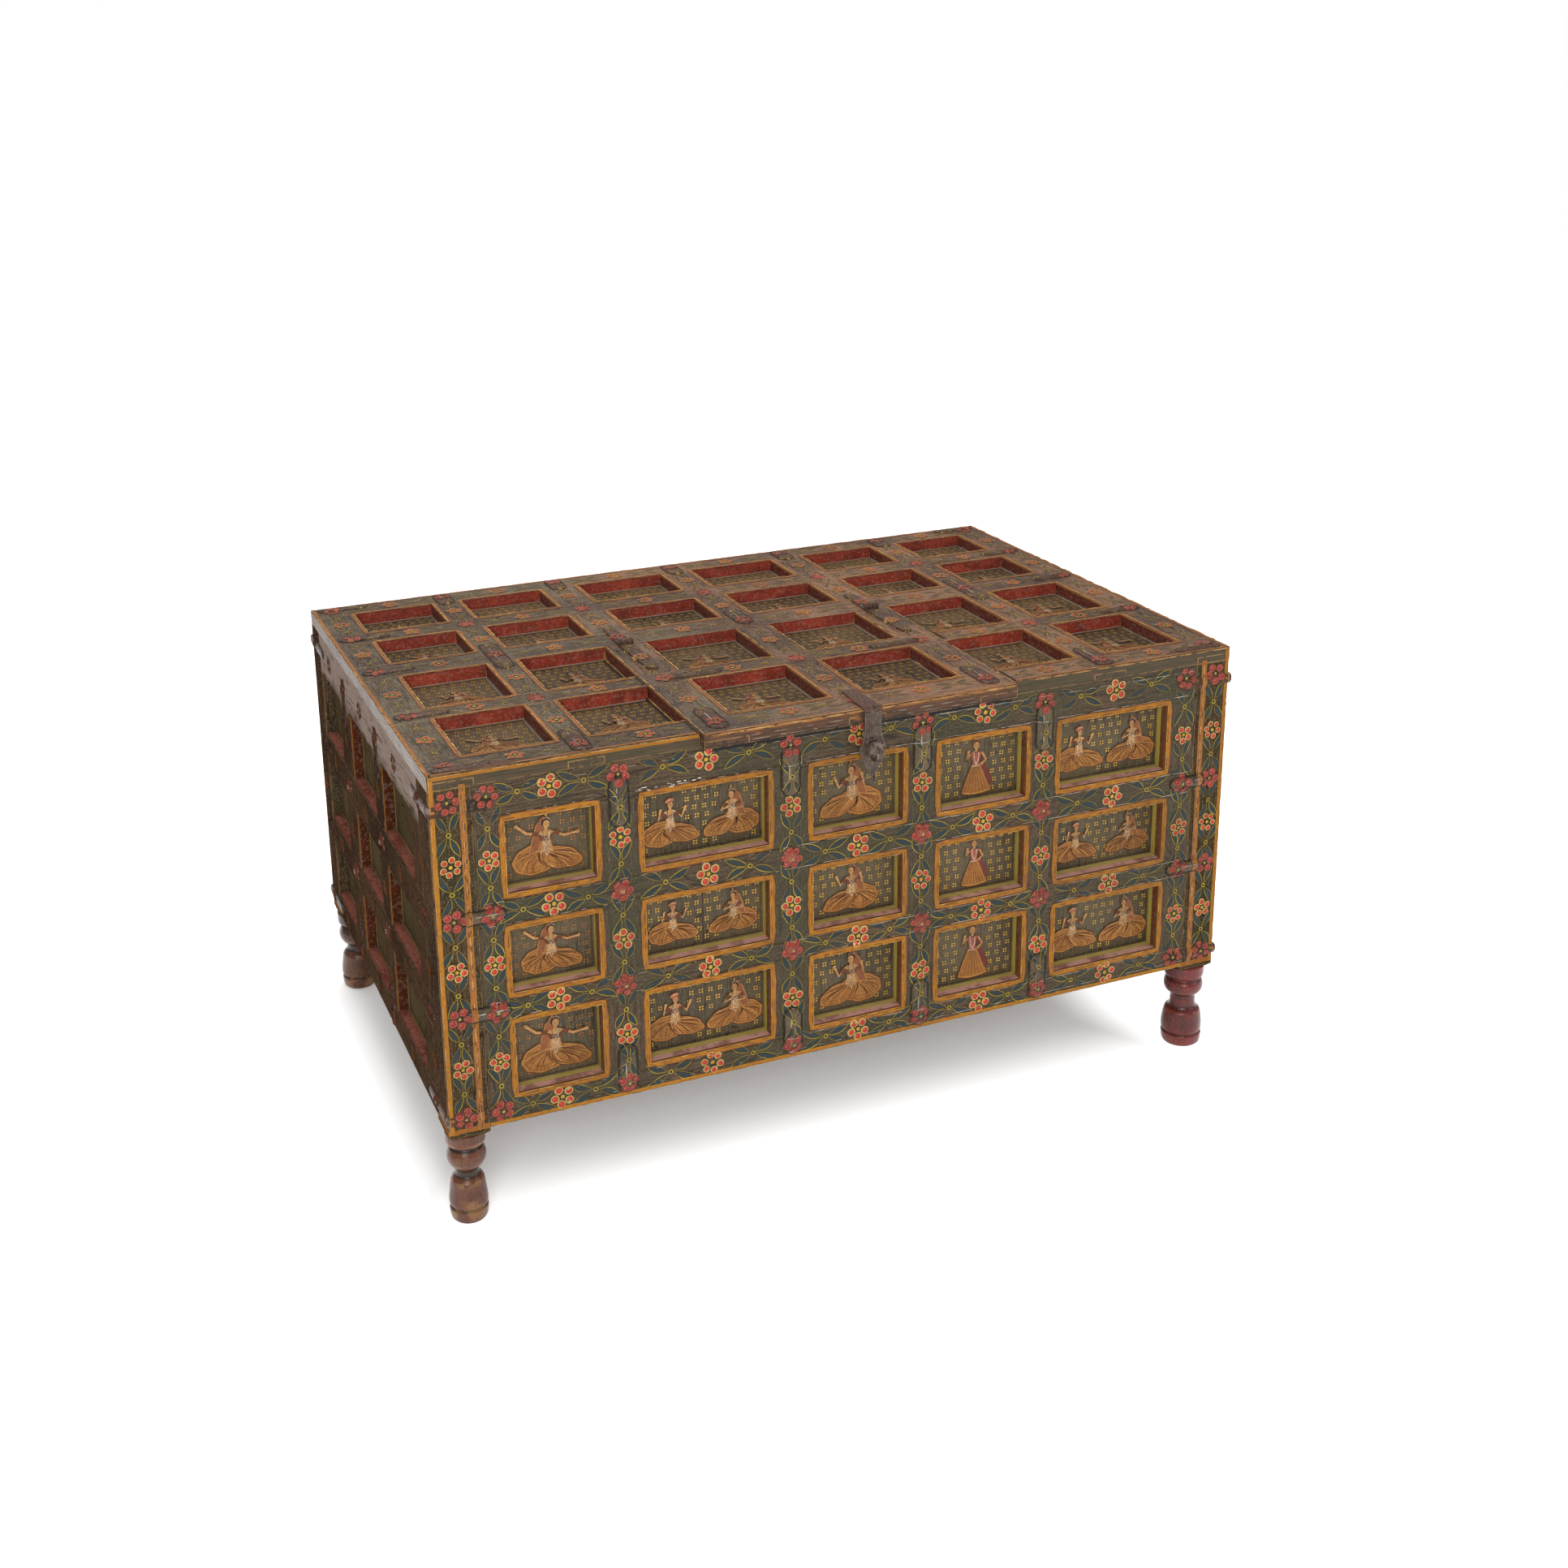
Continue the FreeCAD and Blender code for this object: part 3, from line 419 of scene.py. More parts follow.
def rim_of(box):
    """1 on the outermost upright planes of the chest, from front to back and side to side."""
    wide = box.math("SUBTRACT", box.math("ABSOLUTE", box.place[0]), right_x - rim_depth)
    ahead = box.math("SUBTRACT", front_y + rim_depth, box.place[1])
    behind = box.math("SUBTRACT", box.place[1], back_y - rim_depth)
    return box.step(box.math("MAXIMUM", wide, box.math("MAXIMUM", ahead, behind)), -0.2 * mm, 0.2 * mm)


def rim_tone(box, fibre):
    """Olive in front, bare behind, dull at the sides with a painted sheen on the left, and worn wood along
    the lid's front edge with painted shade at its foot.
    """
    ahead = box.mix(box.step(fibre, 0.4, 0.65), "olive", "olive_brown")
    ahead = box.mix(box.step(box.place[1], 0.0, 1 * mm), ahead, "raw_dark")
    # Painted sheen: the left side's rim is lightened towards the sheen tone
    flank = box.mix(box.step(fibre, 0.4, 0.62), blend_tones(tones["sheen"], tones["side"], 0.6), "side")
    flank = box.mix(box.step(box.place[0], -1 * mm, 1 * mm), flank, "side")
    lid = box.mix(box.step(fibre, 0.46, 0.56), "edge_wood", "top_dark")
    lid = box.tint(lid, "hair", box.step(fibre, 0.56, 0.64), 0.8)
    lid = box.tint(lid, "ochre_worn", box.step(box.noise(45, 5, (0.4, 1, 1), 0.7), 0.55, 0.63), 0.6)
    # Painted shade: the lowest few millimetres of the lid's front edge are darkened
    lid = box.tint(lid, "hair", box.step(box.place[2], lid_z + 5 * mm, lid_z + 1 * mm), 0.8)
    fixed = box.mix(box.step(box.math("ABSOLUTE", box.facing[0]), 0.5, 0.7), ahead, flank)
    return box.mix(box.step(box.place[1], front_y - 2 * mm, front_y - 3 * mm), fixed, lid)


def top_face(box, face, grain):
    """The top's face: olive at the left, browner to the right, patched along the grain."""
    ragged = box.plus(box.place[0], box.noise(5, 4))
    face = box.mix(box.step(ragged, olive_until, brown_from), "top_olive", face)
    patches = box.noise(38, 5, grains[grain], 0.72)
    face = box.tint(face, "top_rim", box.step(patches, 0.52, 0.62), 0.55)
    return box.tint(face, "top_dark", box.step(patches, 0.46, 0.38), 0.60)


def side_gleam(box, skin, fibre, grain):
    """A reflection painted in as a pale sheen along the upper edge of the left side, and flecks over both
    sides.
    """
    ragged = box.plus(box.place[2], box.times(box.noise(12, 5), 90 * mm))
    shine = box.times(box.step(ragged, sheen_from, sheen_full), box.step(fibre, 0.70, 0.50))
    # Painted sheen: the pale reflection is laid only on the left side
    skin = box.tint(skin, "sheen", box.times(shine, box.step(box.place[0], 1 * mm, -1 * mm)), 0.9)
    return box.tint(skin, "side_sill", box.step(box.noise(70, 4, grains[grain], 0.7), 0.60, 0.68), 0.5)


def coffer_walls(box, side, depth, lifted):
    """The walls of the coffers: stained and dusty, painted lighter where lit and darker in shade, with a
    strip along the field and a worn lip.
    """
    # Painted light and shade: walls facing up, or on the top those facing the front, take the lit tone and
    # the rest the shaded one; on the front and sides the lit tone is also dust
    walls = box.mix(lifted, side.wall, side.lit_wall)
    # Brighter red patches only on the top's lit walls, as part of their painted light
    if side.axis == 2:
        bright = box.times(box.step(box.noise(26, 5, roughness=0.65), 0.50, 0.60), lifted)
        walls = box.tint(walls, "wall_bright", bright, 0.6)
    walls = box.tint(walls, "oxblood_dark", box.step(box.noise(34, 5, roughness=0.65), 0.47, 0.62), 0.6)
    walls = box.tint(walls, "dust", box.step(box.noise(240, 4, roughness=0.7), 0.50, 0.62), 0.22)
    strip = box.step(depth, side.strip_share * side.depth, (side.strip_share + 0.05) * side.depth)
    walls = box.tint(walls, side.strip, strip, 0.8)
    lip = box.mix(lifted, "ochre_worn", "salmon_dark")
    walls = box.tint(walls, lip, box.step(depth, 2.6 * mm, 1.8 * mm), 0.8)
    if side.axis == 1:
        covered = box.times(box.step(box.place[2], lid_z - 1.5 * mm, lid_z - 0.5 * mm), lifted)
        walls = box.mix(covered, walls, "edge_wood")
    return walls


def bare_side(box, fibre, gap):
    """Unpainted wood on the inner sides: soft grain, old stains and dark cracks."""
    colour = box.mix(box.step(fibre, 0.40, 0.66), "raw", "raw_dark")
    colour = box.tint(colour, "raw_dark", box.step(box.noise(5, 5, roughness=0.6), 0.42, 0.66), 0.55)
    return box.mix(gap, colour, "hair")


def framed_wood(name, side, grain):
    """Painted wood of one side: its face, the walls of its coffers, its outer rim and its plain back."""
    box = Paintbox(name)
    outward, depth = seen_from(box, side)
    face = top_face(box, side.face, grain) if side.axis == 2 else side.face
    skin, fibre, gap = aged(box, face, grain, side.dull, 0.8, side.pale)
    if side.axis == 0:
        skin = side_gleam(box, skin, fibre, grain)
    # Painted light: how far a wall faces the way that is painted as lit, up or on the top towards the front
    lifted = box.times(box.facing[1], -1.0) if side.axis == 2 else box.facing[2]
    walls = coffer_walls(box, side, depth, box.step(lifted, 0.3, 0.7))
    walls = box.mix(rim_of(box), walls, rim_tone(box, fibre))
    colour = box.mix(box.step(outward, 0.45, 0.6), walls, skin)
    worn = box.times(box.edges(1.8 * mm, 0.84, 0.985), box.step(box.noise(70, 5), 0.40, 0.52))
    colour = box.tint(colour, side.edge, worn, side.edge_share)
    colour = box.mix(box.step(outward, -0.5, -0.7), colour, bare_side(box, fibre, gap))
    return box.finish(colour, side.rough, wood_height(box, fibre, gap), 0.8, gloss=side.gloss)


def post_wood(name):
    """A painted corner post: olive in front, brown at the side and the back, an ochre ring at its foot."""
    box = Paintbox(name)
    skin, fibre, gap = aged(box, "olive", "Z", "olive_brown")
    flank = aged(box, "side", "Z", "side_dark")[0]
    colour = box.mix(box.step(box.facing[1], -0.75, -0.9), flank, skin)
    ragged = box.plus(box.place[2], box.times(box.noise(60, 3), 5 * mm))
    ring = box.times(box.step(ragged, skirt_z + 1 * mm, skirt_z + 2 * mm),
                     box.step(ragged, skirt_z + 9 * mm, skirt_z + 8 * mm))
    colour = box.tint(colour, "ochre_worn", ring, 0.85)
    worn = box.times(box.edges(2.5 * mm, 0.80, 0.985), box.step(box.noise(45, 5), 0.34, 0.48))
    colour = box.tint(colour, "wear", worn, 0.9)
    return box.finish(colour, (0.45, 0.65), wood_height(box, fibre, gap), 0.75, gloss=0.0)


def panel_wood(name, side, grain, gloss, light="field", dark="field_dark"):
    """The dark painted field at the bottom of a coffer, with a bare inner side."""
    box = Paintbox(name)
    skin, fibre, gap = aged(box, light, grain, dark, 0.28, 0.18)
    outward, depth = seen_from(box, side)
    if side.axis == 0:
        outward = box.times(outward, box.step(depth, side.depth + 2 * mm, side.depth + 1 * mm))
    colour = box.mix(box.step(outward, 0.4, 0.6), bare_side(box, fibre, gap), skin)
    return box.finish(colour, (0.45, 0.65), wood_height(box, fibre, gap), gloss=gloss)


def plain_wood(name, grain):
    box = Paintbox(name)
    skin, fibre, gap = aged(box, "raw", grain, "raw_dark")
    return box.finish(skin, (0.55, 0.8), wood_height(box, fibre, gap))


def painted_iron(name, shade, dull, gloss):
    """Hammered iron under old paint, rubbed bare along its crest and edges."""
    box = Paintbox(name)
    skin, fibre, gap = aged(box, shade, "Z", dull, 0.45)
    rubbed = box.times(box.edges(1.2 * mm, 0.86, 0.99), box.step(box.noise(80, 3), 0.45, 0.6))
    colour = box.tint(skin, "dust", rubbed, 0.5)
    return box.finish(colour, (0.24, 0.42), wood_height(box, fibre, gap), 0.45, gloss=gloss)


def bare_iron(name, shade):
    """Dark forged iron with a dull sheen, brown in its hollows and lighter on its edges as a painted
    highlight.
    """
    box = Paintbox(name)
    blotch, pits = box.noise(70, 5), box.noise(320, 3)
    colour = box.mix(box.step(blotch, 0.45, 0.60), shade, "side_dark")
    # Painted highlight: every edge lightened
    colour = box.tint(colour, "iron_light", box.edges(1.1 * mm, 0.80, 0.99), 0.85)
    colour = box.tint(colour, "iron_light", box.step(pits, 0.58, 0.66), 0.2)
    box.shader.inputs["Metallic"].default_value = 0.12
    return box.finish(colour, (0.24, 0.42), box.plus(blotch, box.times(pits, 0.4)), 0.6, 0.4 * mm)


def turned_wood(name, light, dark, rubbed, bareness, streak, groove_shade):
    """Varnished turned wood: painted shade darkens its grooves; rubbed on its swells and at its foot."""
    box = Paintbox(name)
    skin, fibre, gap = aged(box, light, "Z", dark, streak, 0.12)
    swell = box.node("ShaderNodeAttribute", attribute_name="swell").outputs["Fac"]
    # Painted shade: darker where the leg sinks below its surroundings
    skin = box.tint(skin, "hair", box.step(swell, 0.0, -0.05), groove_shade)
    ragged = box.plus(box.place[2], box.times(box.noise(50, 4), -50 * mm))
    crest = box.times(box.step(swell, 0.01, 0.05), box.step(box.noise(60, 4), 0.46, 0.56))
    foot = box.times(box.step(ragged, 8 * mm, -12 * mm), box.step(box.noise(45, 5), 0.44, 0.58))
    skin = box.tint(skin, rubbed, box.math("MAXIMUM", crest, foot), bareness)
    return box.finish(skin, (0.14, 0.30), wood_height(box, fibre, gap), 0.30, gloss=0.32)


def decoration(name, gloss):
    """Old distemper under varnish: the colour each stroke was laid in, stained, rubbed and crackled."""
    box = Paintbox(name)
    laid = box.node("ShaderNodeAttribute", attribute_name="tone").outputs["Color"]
    light = box.step(box.node("ShaderNodeRGBToBW", {0: laid}).outputs[0], 0.018, 0.050)
    mottle = box.times(box.step(box.noise(75, 5, roughness=0.7), 0.40, 0.66), light)
    rubbed = box.step(box.noise(150, 5, roughness=0.75), 0.54, 0.70)
    colour = box.tint(laid, "olive_dark", box.step(box.noise(8, 5, roughness=0.6), 0.42, 0.70), 0.24)
    colour = box.tint(colour, "robe_dark", mottle, 0.24)
    colour = box.tint(colour, "olive_brown", box.times(rubbed, light), 0.42)
    colour = box.tint(colour, "hair", box.step(box.noise(480, 3), 0.54, 0.68), 0.36)
    height = box.plus(box.noise(60, 4), box.times(rubbed, 0.6))
    return box.finish(colour, (0.38, 0.58), height, 0.5, 0.5 * mm, gloss)


# Making meshes
def new_object(name, vertices, faces, body, material, slot_name, smooth=True):
    mesh = bpy.data.meshes.new(name)
    mesh.from_pydata(vertices, [], faces)
    mesh.validate()
    mesh.materials.append(material)
    for face in mesh.polygons:
        face.use_smooth = smooth
    made = bpy.data.objects.new(name, mesh)
    bpy.context.scene.collection.objects.link(made)
    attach(made, body)
    return made


def join_shapes(shapes):
    vertices, faces = [], []
    for points, polygons in shapes:
        base = len(vertices)
        vertices += points
        faces += [tuple(i + base for i in polygon) for polygon in polygons]
    return vertices, faces


def swept(stations, side, width, rise):
    """Half-round bar over a row of (place, outward, width share, rise share), closed under the surface."""
    vertices, faces = [], []
    count = curve_steps + 1
    for place, outward, wide, high in stations:
        for i in range(count):
            angle = math.pi * i / curve_steps
            lift = math.sin(angle) ** 0.8 * rise * high - (sunk if i in (0, curve_steps) else 0)
            vertices.append(place + side * (math.cos(angle) * width / 2 * wide) + outward * lift)
    for row in range(len(stations) - 1):
        for i in range(curve_steps):
            a = row * count + i
            faces.append((a, a + 1, a + count + 1, a + count))
        first, last = row * count, row * count + curve_steps
        faces.append((first, first + count, last + count, last))
    faces.append(tuple(range(count)))
    faces.append(tuple(reversed(range(len(vertices) - count, len(vertices)))))
    return vertices, faces


def bar_stations(start, end, outward, width, seed):
    """Places along a straight bar with round ends, a little uneven, as if hammered."""
    run = (end - start).length
    nose = width / 2 / run
    shares = [nose * (1 - math.cos(math.pi / 2 * i / nose_steps)) for i in range(nose_steps + 1)]
    straight = [nose + (1 - 2 * nose) * i / strap_steps for i in range(1, strap_steps)]
    stations = []
    for share in shares + straight + [1 - s for s in reversed(shares)]:
        near_end = min(share, 1 - share) / nose
        wide = math.sqrt(max(0.0, 1 - (1 - near_end) ** 2)) if near_end < 1 else 1.0
        wobble = 0.95 + 0.05 * noise.noise(Vector((seed, share * run * 60, 0)))
        stations.append((start.lerp(end, share), outward, max(wide, 0.05) * wobble,
                         max(wide, 0.05) ** 0.5 * wobble))
    return stations


def bar_over(box, outward_axis, sign, crest):
    """A half-round bar in place of one flat strap, over the box that the strap fills."""
    others = [a for a in range(3) if a != outward_axis]
    long_axis = max(others, key=lambda a: box[a][1] - box[a][0])
    cross_axis = [a for a in others if a != long_axis][0]
    width = box[cross_axis][1] - box[cross_axis][0]
    surface = box[outward_axis][1] - strap_rise if sign > 0 else box[outward_axis][0] + strap_rise
    start, end, outward, side = Vector(), Vector(), Vector(), Vector()
    start[outward_axis] = end[outward_axis] = surface
    start[cross_axis] = end[cross_axis] = middle(box[cross_axis])
    start[long_axis], end[long_axis] = box[long_axis]
    outward[outward_axis] = sign
    side[cross_axis] = 1
    seed = sum(middle(b) for b in box) * 100
    return swept(bar_stations(start, end, outward, width, seed), side, width, crest)


def corner_bar(box):
    """A half-round band bent round a corner post, in place of one corner strap."""
    x_sign = -1 if middle(box[0]) < 0 else 1
    y_sign = -1 if middle(box[1]) < middle((front_y, back_y)) else 1
    corner_x = left_x if x_sign < 0 else right_x
    corner_y = front_y if y_sign < 0 else back_y
    far_x = box[0][1] if x_sign < 0 else box[0][0]
    far_y = box[1][1] if y_sign < 0 else box[1][0]
    height, width = middle(box[2]), box[2][1] - box[2][0]
    first, last = Vector((far_x, corner_y, height)), Vector((corner_x, far_y, height))
    corner = Vector((corner_x, corner_y, height))
    out_x, out_y = X * x_sign, Y * y_sign
    arm_a = bar_stations(first, first + (corner - first) * 2, out_y, width, far_x * 90)
    arm_b = bar_stations(last + (corner - last) * 2, last, out_x, width, far_y * 70)
    stations = [s for s in arm_a if (s[0] - first).length < (corner - first).length - 3 * mm]
    stations.append((corner, out_x + out_y, 0.95, 0.95))
    stations += [s for s in arm_b if (s[0] - last).length < (corner - last).length - 3 * mm]
    return swept(stations, Z, width, strap_rise)


# Posts and turned legs
def rounded_outline(shares, per_step=6):
    """A turned outline given by a few points, drawn as a smooth curve through them."""
    points = [Vector((r, h)) for r, h in shares]
    out = [points[0]]
    for i in range(1, len(points)):
        before = points[i - 2] if i > 1 else points[i - 1]
        a, b = points[i - 1], points[i]
        after = points[i + 1] if i + 1 < len(points) else b
        for k in range(1, per_step + 1):
            t = k / per_step
            out.append(0.5 * (2 * a + (b - before) * t + (2 * before - 5 * a + 4 * b - after) * t ** 2
                              + (3 * a - before - 3 * b + after) * t ** 3))
    return out


def turned_leg(shares, x, y, radius, seed):
    """A turned leg: its outline spun about an upright axis, with the slight wander of hand work."""
    profile = rounded_outline(shares)
    vertices, faces = [Vector((x, y, 0))], []
    for row in profile:
        for i in range(leg_sides):
            angle = math.tau * i / leg_sides
            rough = noise.noise(Vector((math.cos(angle) * 1.4 + seed, math.sin(angle) * 1.4, row[1] * 5)))
            r = min(row[0], 1.0) * radius * (1 - 0.012 + 0.02 * rough)
            vertices.append(Vector((x + math.cos(angle) * r, y + math.sin(angle) * r, row[1] * leg_height)))
    for k in range(len(profile) - 1):
        for i in range(leg_sides):
            a, b = 1 + k * leg_sides + i, 1 + k * leg_sides + (i + 1) % leg_sides
            faces.append((a, b, b + leg_sides, a + leg_sides))
    faces += [(0, 1 + (i + 1) % leg_sides, 1 + i) for i in range(leg_sides)]
    top = 1 + (len(profile) - 1) * leg_sides
    faces.append(tuple(top + i for i in range(leg_sides)))
    return vertices, faces


def mark_swells(leg, x, y, radius):
    """Gives each point of a leg its swell: how far it stands out beyond the leg close above and below."""
    reach = [math.hypot(v.co.x - x, v.co.y - y) / radius for v in leg.data.vertices]
    level = {}
    for vertex, out in zip(leg.data.vertices, reach):
        key = round(vertex.co.z / mm)
        level[key] = max(level.get(key, 0.0), out)
    layer = leg.data.attributes.new("swell", "FLOAT", "POINT")
    for value, vertex, out in zip(layer.data, leg.data.vertices, reach):
        key = round(vertex.co.z / mm)
        near = [level[k] for k in range(key - swell_reach, key + swell_reach + 1) if k in level]
        value.value = out - sum(near) / len(near)


def post_body(x, y, z1):
    """The square length of a post, with worn arrises and a chamfer round its lower end."""
    x0, x1, y0, y1 = x - post_width / 2, x + post_width / 2, y - post_depth / 2, y + post_depth / 2
    straight_z, straight = leg_height + post_chamfer, z1 - leg_height - post_chamfer
    levels = [(leg_height, post_chamfer)]
    levels += [(straight_z + straight * i / post_rows, 0.0) for i in range(post_rows + 1)]
    vertices, faces = [], []
    for z, inset in levels:
        for sx, sy in ((0, 0), (1, 0), (1, 1), (0, 1)):
            cx, cy = (x1 if sx else x0), (y1 if sy else y0)
            tx, ty = (-1 if sx else 1), (-1 if sy else 1)
            chip = arris * (1 + 0.8 * noise.noise(Vector((cx * 40, cy * 40, z * 30))))
            along = [(inset + chip, inset), (inset, inset + chip)]
            if (sx + sy) % 2 == 0:
                along.reverse()
            vertices += [Vector((cx + tx * a, cy + ty * b, z)) for a, b in along]
    count = 8
    for row in range(len(levels) - 1):
        for i in range(count):
            a, b = row * count + i, row * count + (i + 1) % count
            faces.append((a, b, b + count, a + count))
    faces.append(tuple(reversed(range(count))))
    faces.append(tuple(range(len(vertices) - count, len(vertices))))
    return vertices, faces


# Places on a flat sheet
def between(a, b, share):
    return (a[0] + (b[0] - a[0]) * share, a[1] + (b[1] - a[1]) * share)


def tilted(centre, p, q, tilt):
    """The place p along and q aside from a centre, in axes turned by an angle."""
    cos, sin = math.cos(tilt), math.sin(tilt)
    return (centre[0] + p * cos - q * sin, centre[1] + p * sin + q * cos)


def corners_of(opening, inset=0.0):
    """The four corners of an opening, moved inward."""
    (u0, u1), (v0, v1) = opening
    left, right, low, high = u0 + inset, u1 - inset, v0 + inset, v1 - inset
    return [(left, low), (right, low), (right, high), (left, high)]


def ring_of(u, v, ru, rv, steps=16, tilt=0.0):
    turns = [math.tau * i / steps for i in range(steps)]
    return [tilted((u, v), math.cos(a) * ru, math.sin(a) * rv, tilt) for a in turns]


def ladder(count):
    """Faces between two rows of as many points."""
    return [(i, count + i, count + i + 1, i + 1) for i in range(count - 1)]


# Painting on the chest
class Canvas:
    """One side of the chest as a flat sheet to paint on; each stroke is laid on what stands below it."""

    def __init__(self, name, body, across, up, surfaces, ground, fade, rim="cream"):
        self.name, self.body, self.rim = name, body, rim
        self.across, self.up, self.out = across, up, across.cross(up)
        self.surfaces = surfaces
        self.ground, self.fade = ground, fade
        self.field = None
        self.vertices, self.faces, self.tones = [], [], []

    def below(self, u, v):
        """The place on the chest under a point of the sheet."""
        return self.surfaces.ray_cast(self.across * u + self.up * v + self.out * 1.0, -self.out)[0]

    def enter(self, opening):
        """From here on, paint stays flat on the field of one opening and inside its edges."""
        (u0, u1), (v0, v1) = opening
        places = [self.below(u0 + (u1 - u0) * a / 4, v0 + (v1 - v0) * b / 4)
                  for a in (1, 2, 3) for b in (1, 2, 3)]
        self.field = (u0 + field_margin, u1 - field_margin, v0 + field_margin, v1 - field_margin,
                      max(place.dot(self.out) for place in places if place is not None))

    def leave(self):
        self.field = None

    def lay(self, u, v, level):
        if self.field:
            u0, u1, v0, v1, plane = self.field
            place = (self.across * min(max(u, u0), u1) + self.up * min(max(v, v0), v1) + self.out * plane)
        else:
            place = self.below(u, v)
            if place is None:
                return None
        place = place + self.out * coat * level
        return Vector(min(max(c, low), high) for c, low, high in zip(place, *cad_box))

    def stroke(self, points, polygons, colour, level, even=0.10):
        """Adds flat points as painted faces, in one colour that varies a little from stroke to stroke."""
        laid = [self.lay(u, v, level) for u, v in points]
        if any(p is None for p in laid):
            return
        depths = [p.dot(self.out) for p in laid]
        if max(depths) - min(depths) > deepest_step:
            return
        shade = 1 + dice.uniform(-even, even)
        mixed = tuple(c * shade for c in blend_tones(tones[colour], tones[self.ground], self.fade))
        base = len(self.vertices)
        self.vertices += laid
        self.faces += [tuple(i + base for i in polygon) for polygon in polygons]
        self.tones += [mixed] * len(laid)

    def patch(self, points, colour, level, even=0.10):
        """A filled outline."""
        centre = (sum(p[0] for p in points) / len(points), sum(p[1] for p in points) / len(points))
        area = sum(a[0] * b[1] - b[0] * a[1] for a, b in zip(points, points[1:] + points[:1]))
        ring = points if area > 0 else points[::-1]
        faces = [(0, 1 + i, 1 + (i + 1) % len(ring)) for i in range(len(ring))]
        self.stroke([centre] + ring, faces, colour, level, even)

    def line(self, points, width, colour, level, closed=False, taper=False, even=0.10):
        """A brush line along points; a tapered one starts and ends thin."""
        path = points + points[:1] if closed else points
        count = len(path)
        left, right = [], []
        for i, (u, v) in enumerate(path):
            before = path[i - 1] if i else (path[-2] if closed else path[0])
            after = path[i + 1] if i < count - 1 else (path[1] if closed else path[-1])
            du, dv = after[0] - before[0], after[1] - before[1]
            size = math.hypot(du, dv) or 1.0
            share = math.sin(math.pi * (i + 0.6) / (count + 0.2)) ** 0.6 if taper else 1.0
            half = width / 2 * share * (1 + dice.uniform(-0.12, 0.12))
            left.append((u - dv / size * half, v + du / size * half))
            right.append((u + dv / size * half, v - du / size * half))
        self.stroke(left + right, ladder(count), colour, level, even)

    def rule(self, a, b, width, colour, level=line_level, pitch=10 * mm, taper=False):
        """A straight brush line in short steps, so that it follows what lies below."""
        count = max(2, round(math.dist(a, b) / pitch))
        points = [(a[0] + (b[0] - a[0]) * i / count, a[1] + (b[1] - a[1]) * i / count)
                  for i in range(count + 1)]
        self.line(points, width, colour, level, taper=taper)

    def disc(self, u, v, radius, colour, level, steps=12):
        turn = dice.uniform(0, math.tau)
        points = []
        for i in range(steps):
            angle = turn + math.tau * i / steps
            r = radius * (1 + dice.uniform(-0.06, 0.06))
            points.append((u + math.cos(angle) * r, v + math.sin(angle) * r))
        self.patch(points, colour, level)

    def rosette(self, u, v, radius=rosette_radius, plain=False):
        """Round petals about a yellow eye; each has a cream rim and a red heart, or is plain red."""
        petals = dice.choice((5, 5, 6))
        turn = dice.uniform(0, math.tau)
        petal = radius * (0.355 if petals == 5 else 0.305) * (1.04 if plain else 1.0)
        for i in range(petals):
            angle = turn + math.tau * i / petals + dice.uniform(-0.08, 0.08)
            distance = radius - petal
            pu, pv = u + math.cos(angle) * distance, v + math.sin(angle) * distance
            if plain:
                self.disc(pu, pv, petal, "salmon_dark", 9)
                self.disc(pu, pv, petal * 0.90, "salmon", 10)
                self.disc(pu, pv, petal * 0.66, "brick", 11)
                self.disc(pu - petal * 0.2, pv + petal * 0.25, petal * 0.22, "brick_light", 13, 8)
            else:
                self.disc(pu, pv, petal, self.rim, 9)
                self.disc(pu + petal * 0.04, pv - petal * 0.04, petal * 0.72, "petal", 11)
                self.disc(pu - petal * 0.2, pv + petal * 0.2, petal * 0.18, "petal_light", 13, 8)
        self.disc(u, v, radius * (0.13 if plain else 0.17), "muted_rim" if plain else "yellow", 12, 8)

    def leaf(self, u, v, angle, size, width):
        """A pointed dark leaf in a double yellow outline."""
        steps = 7
        bend = dice.uniform(-0.10, 0.10) * size
        spine = []
        for i in range(steps + 1):
            arch = math.sin(math.pi * i / steps)
            spine.append((i / steps * size, bend * arch, arch ** 0.85))
        inner = [tilted((u, v), size * 0.12 + a * 0.76, b + side * width * 0.36 * belly, angle)
                 for side in (1, -1) for a, b, belly in spine]
        self.stroke(inner, ladder(steps + 1), "leaf", ground_level)
        for side in (1, -1):
            edge = [tilted((u, v), a, b + side * width / 2 * belly, angle) for a, b, belly in spine]
            shade = dice.choice(("leaf_line", "leaf_faint"))
            self.line(edge, dice.uniform(0.75, 1.05) * mm, shade, 6, taper=True, even=0.25)

    def sprig(self, u, v, angle, size=leaf_length, width=leaf_width):
        """A small ring with four leaves in an X."""
        for turn in (angle, -angle, math.pi - angle, math.pi + angle):
            tilt = turn + dice.uniform(-0.08, 0.08)
            self.leaf(u + math.cos(tilt) * leaf_start, v + math.sin(tilt) * leaf_start, tilt,
                      size * dice.uniform(0.9, 1.08), width)
        self.disc(u, v, ring_radius, "leaf_line", 8, 10)
        self.disc(u, v, ring_hole, "olive_dark", 10, 8)

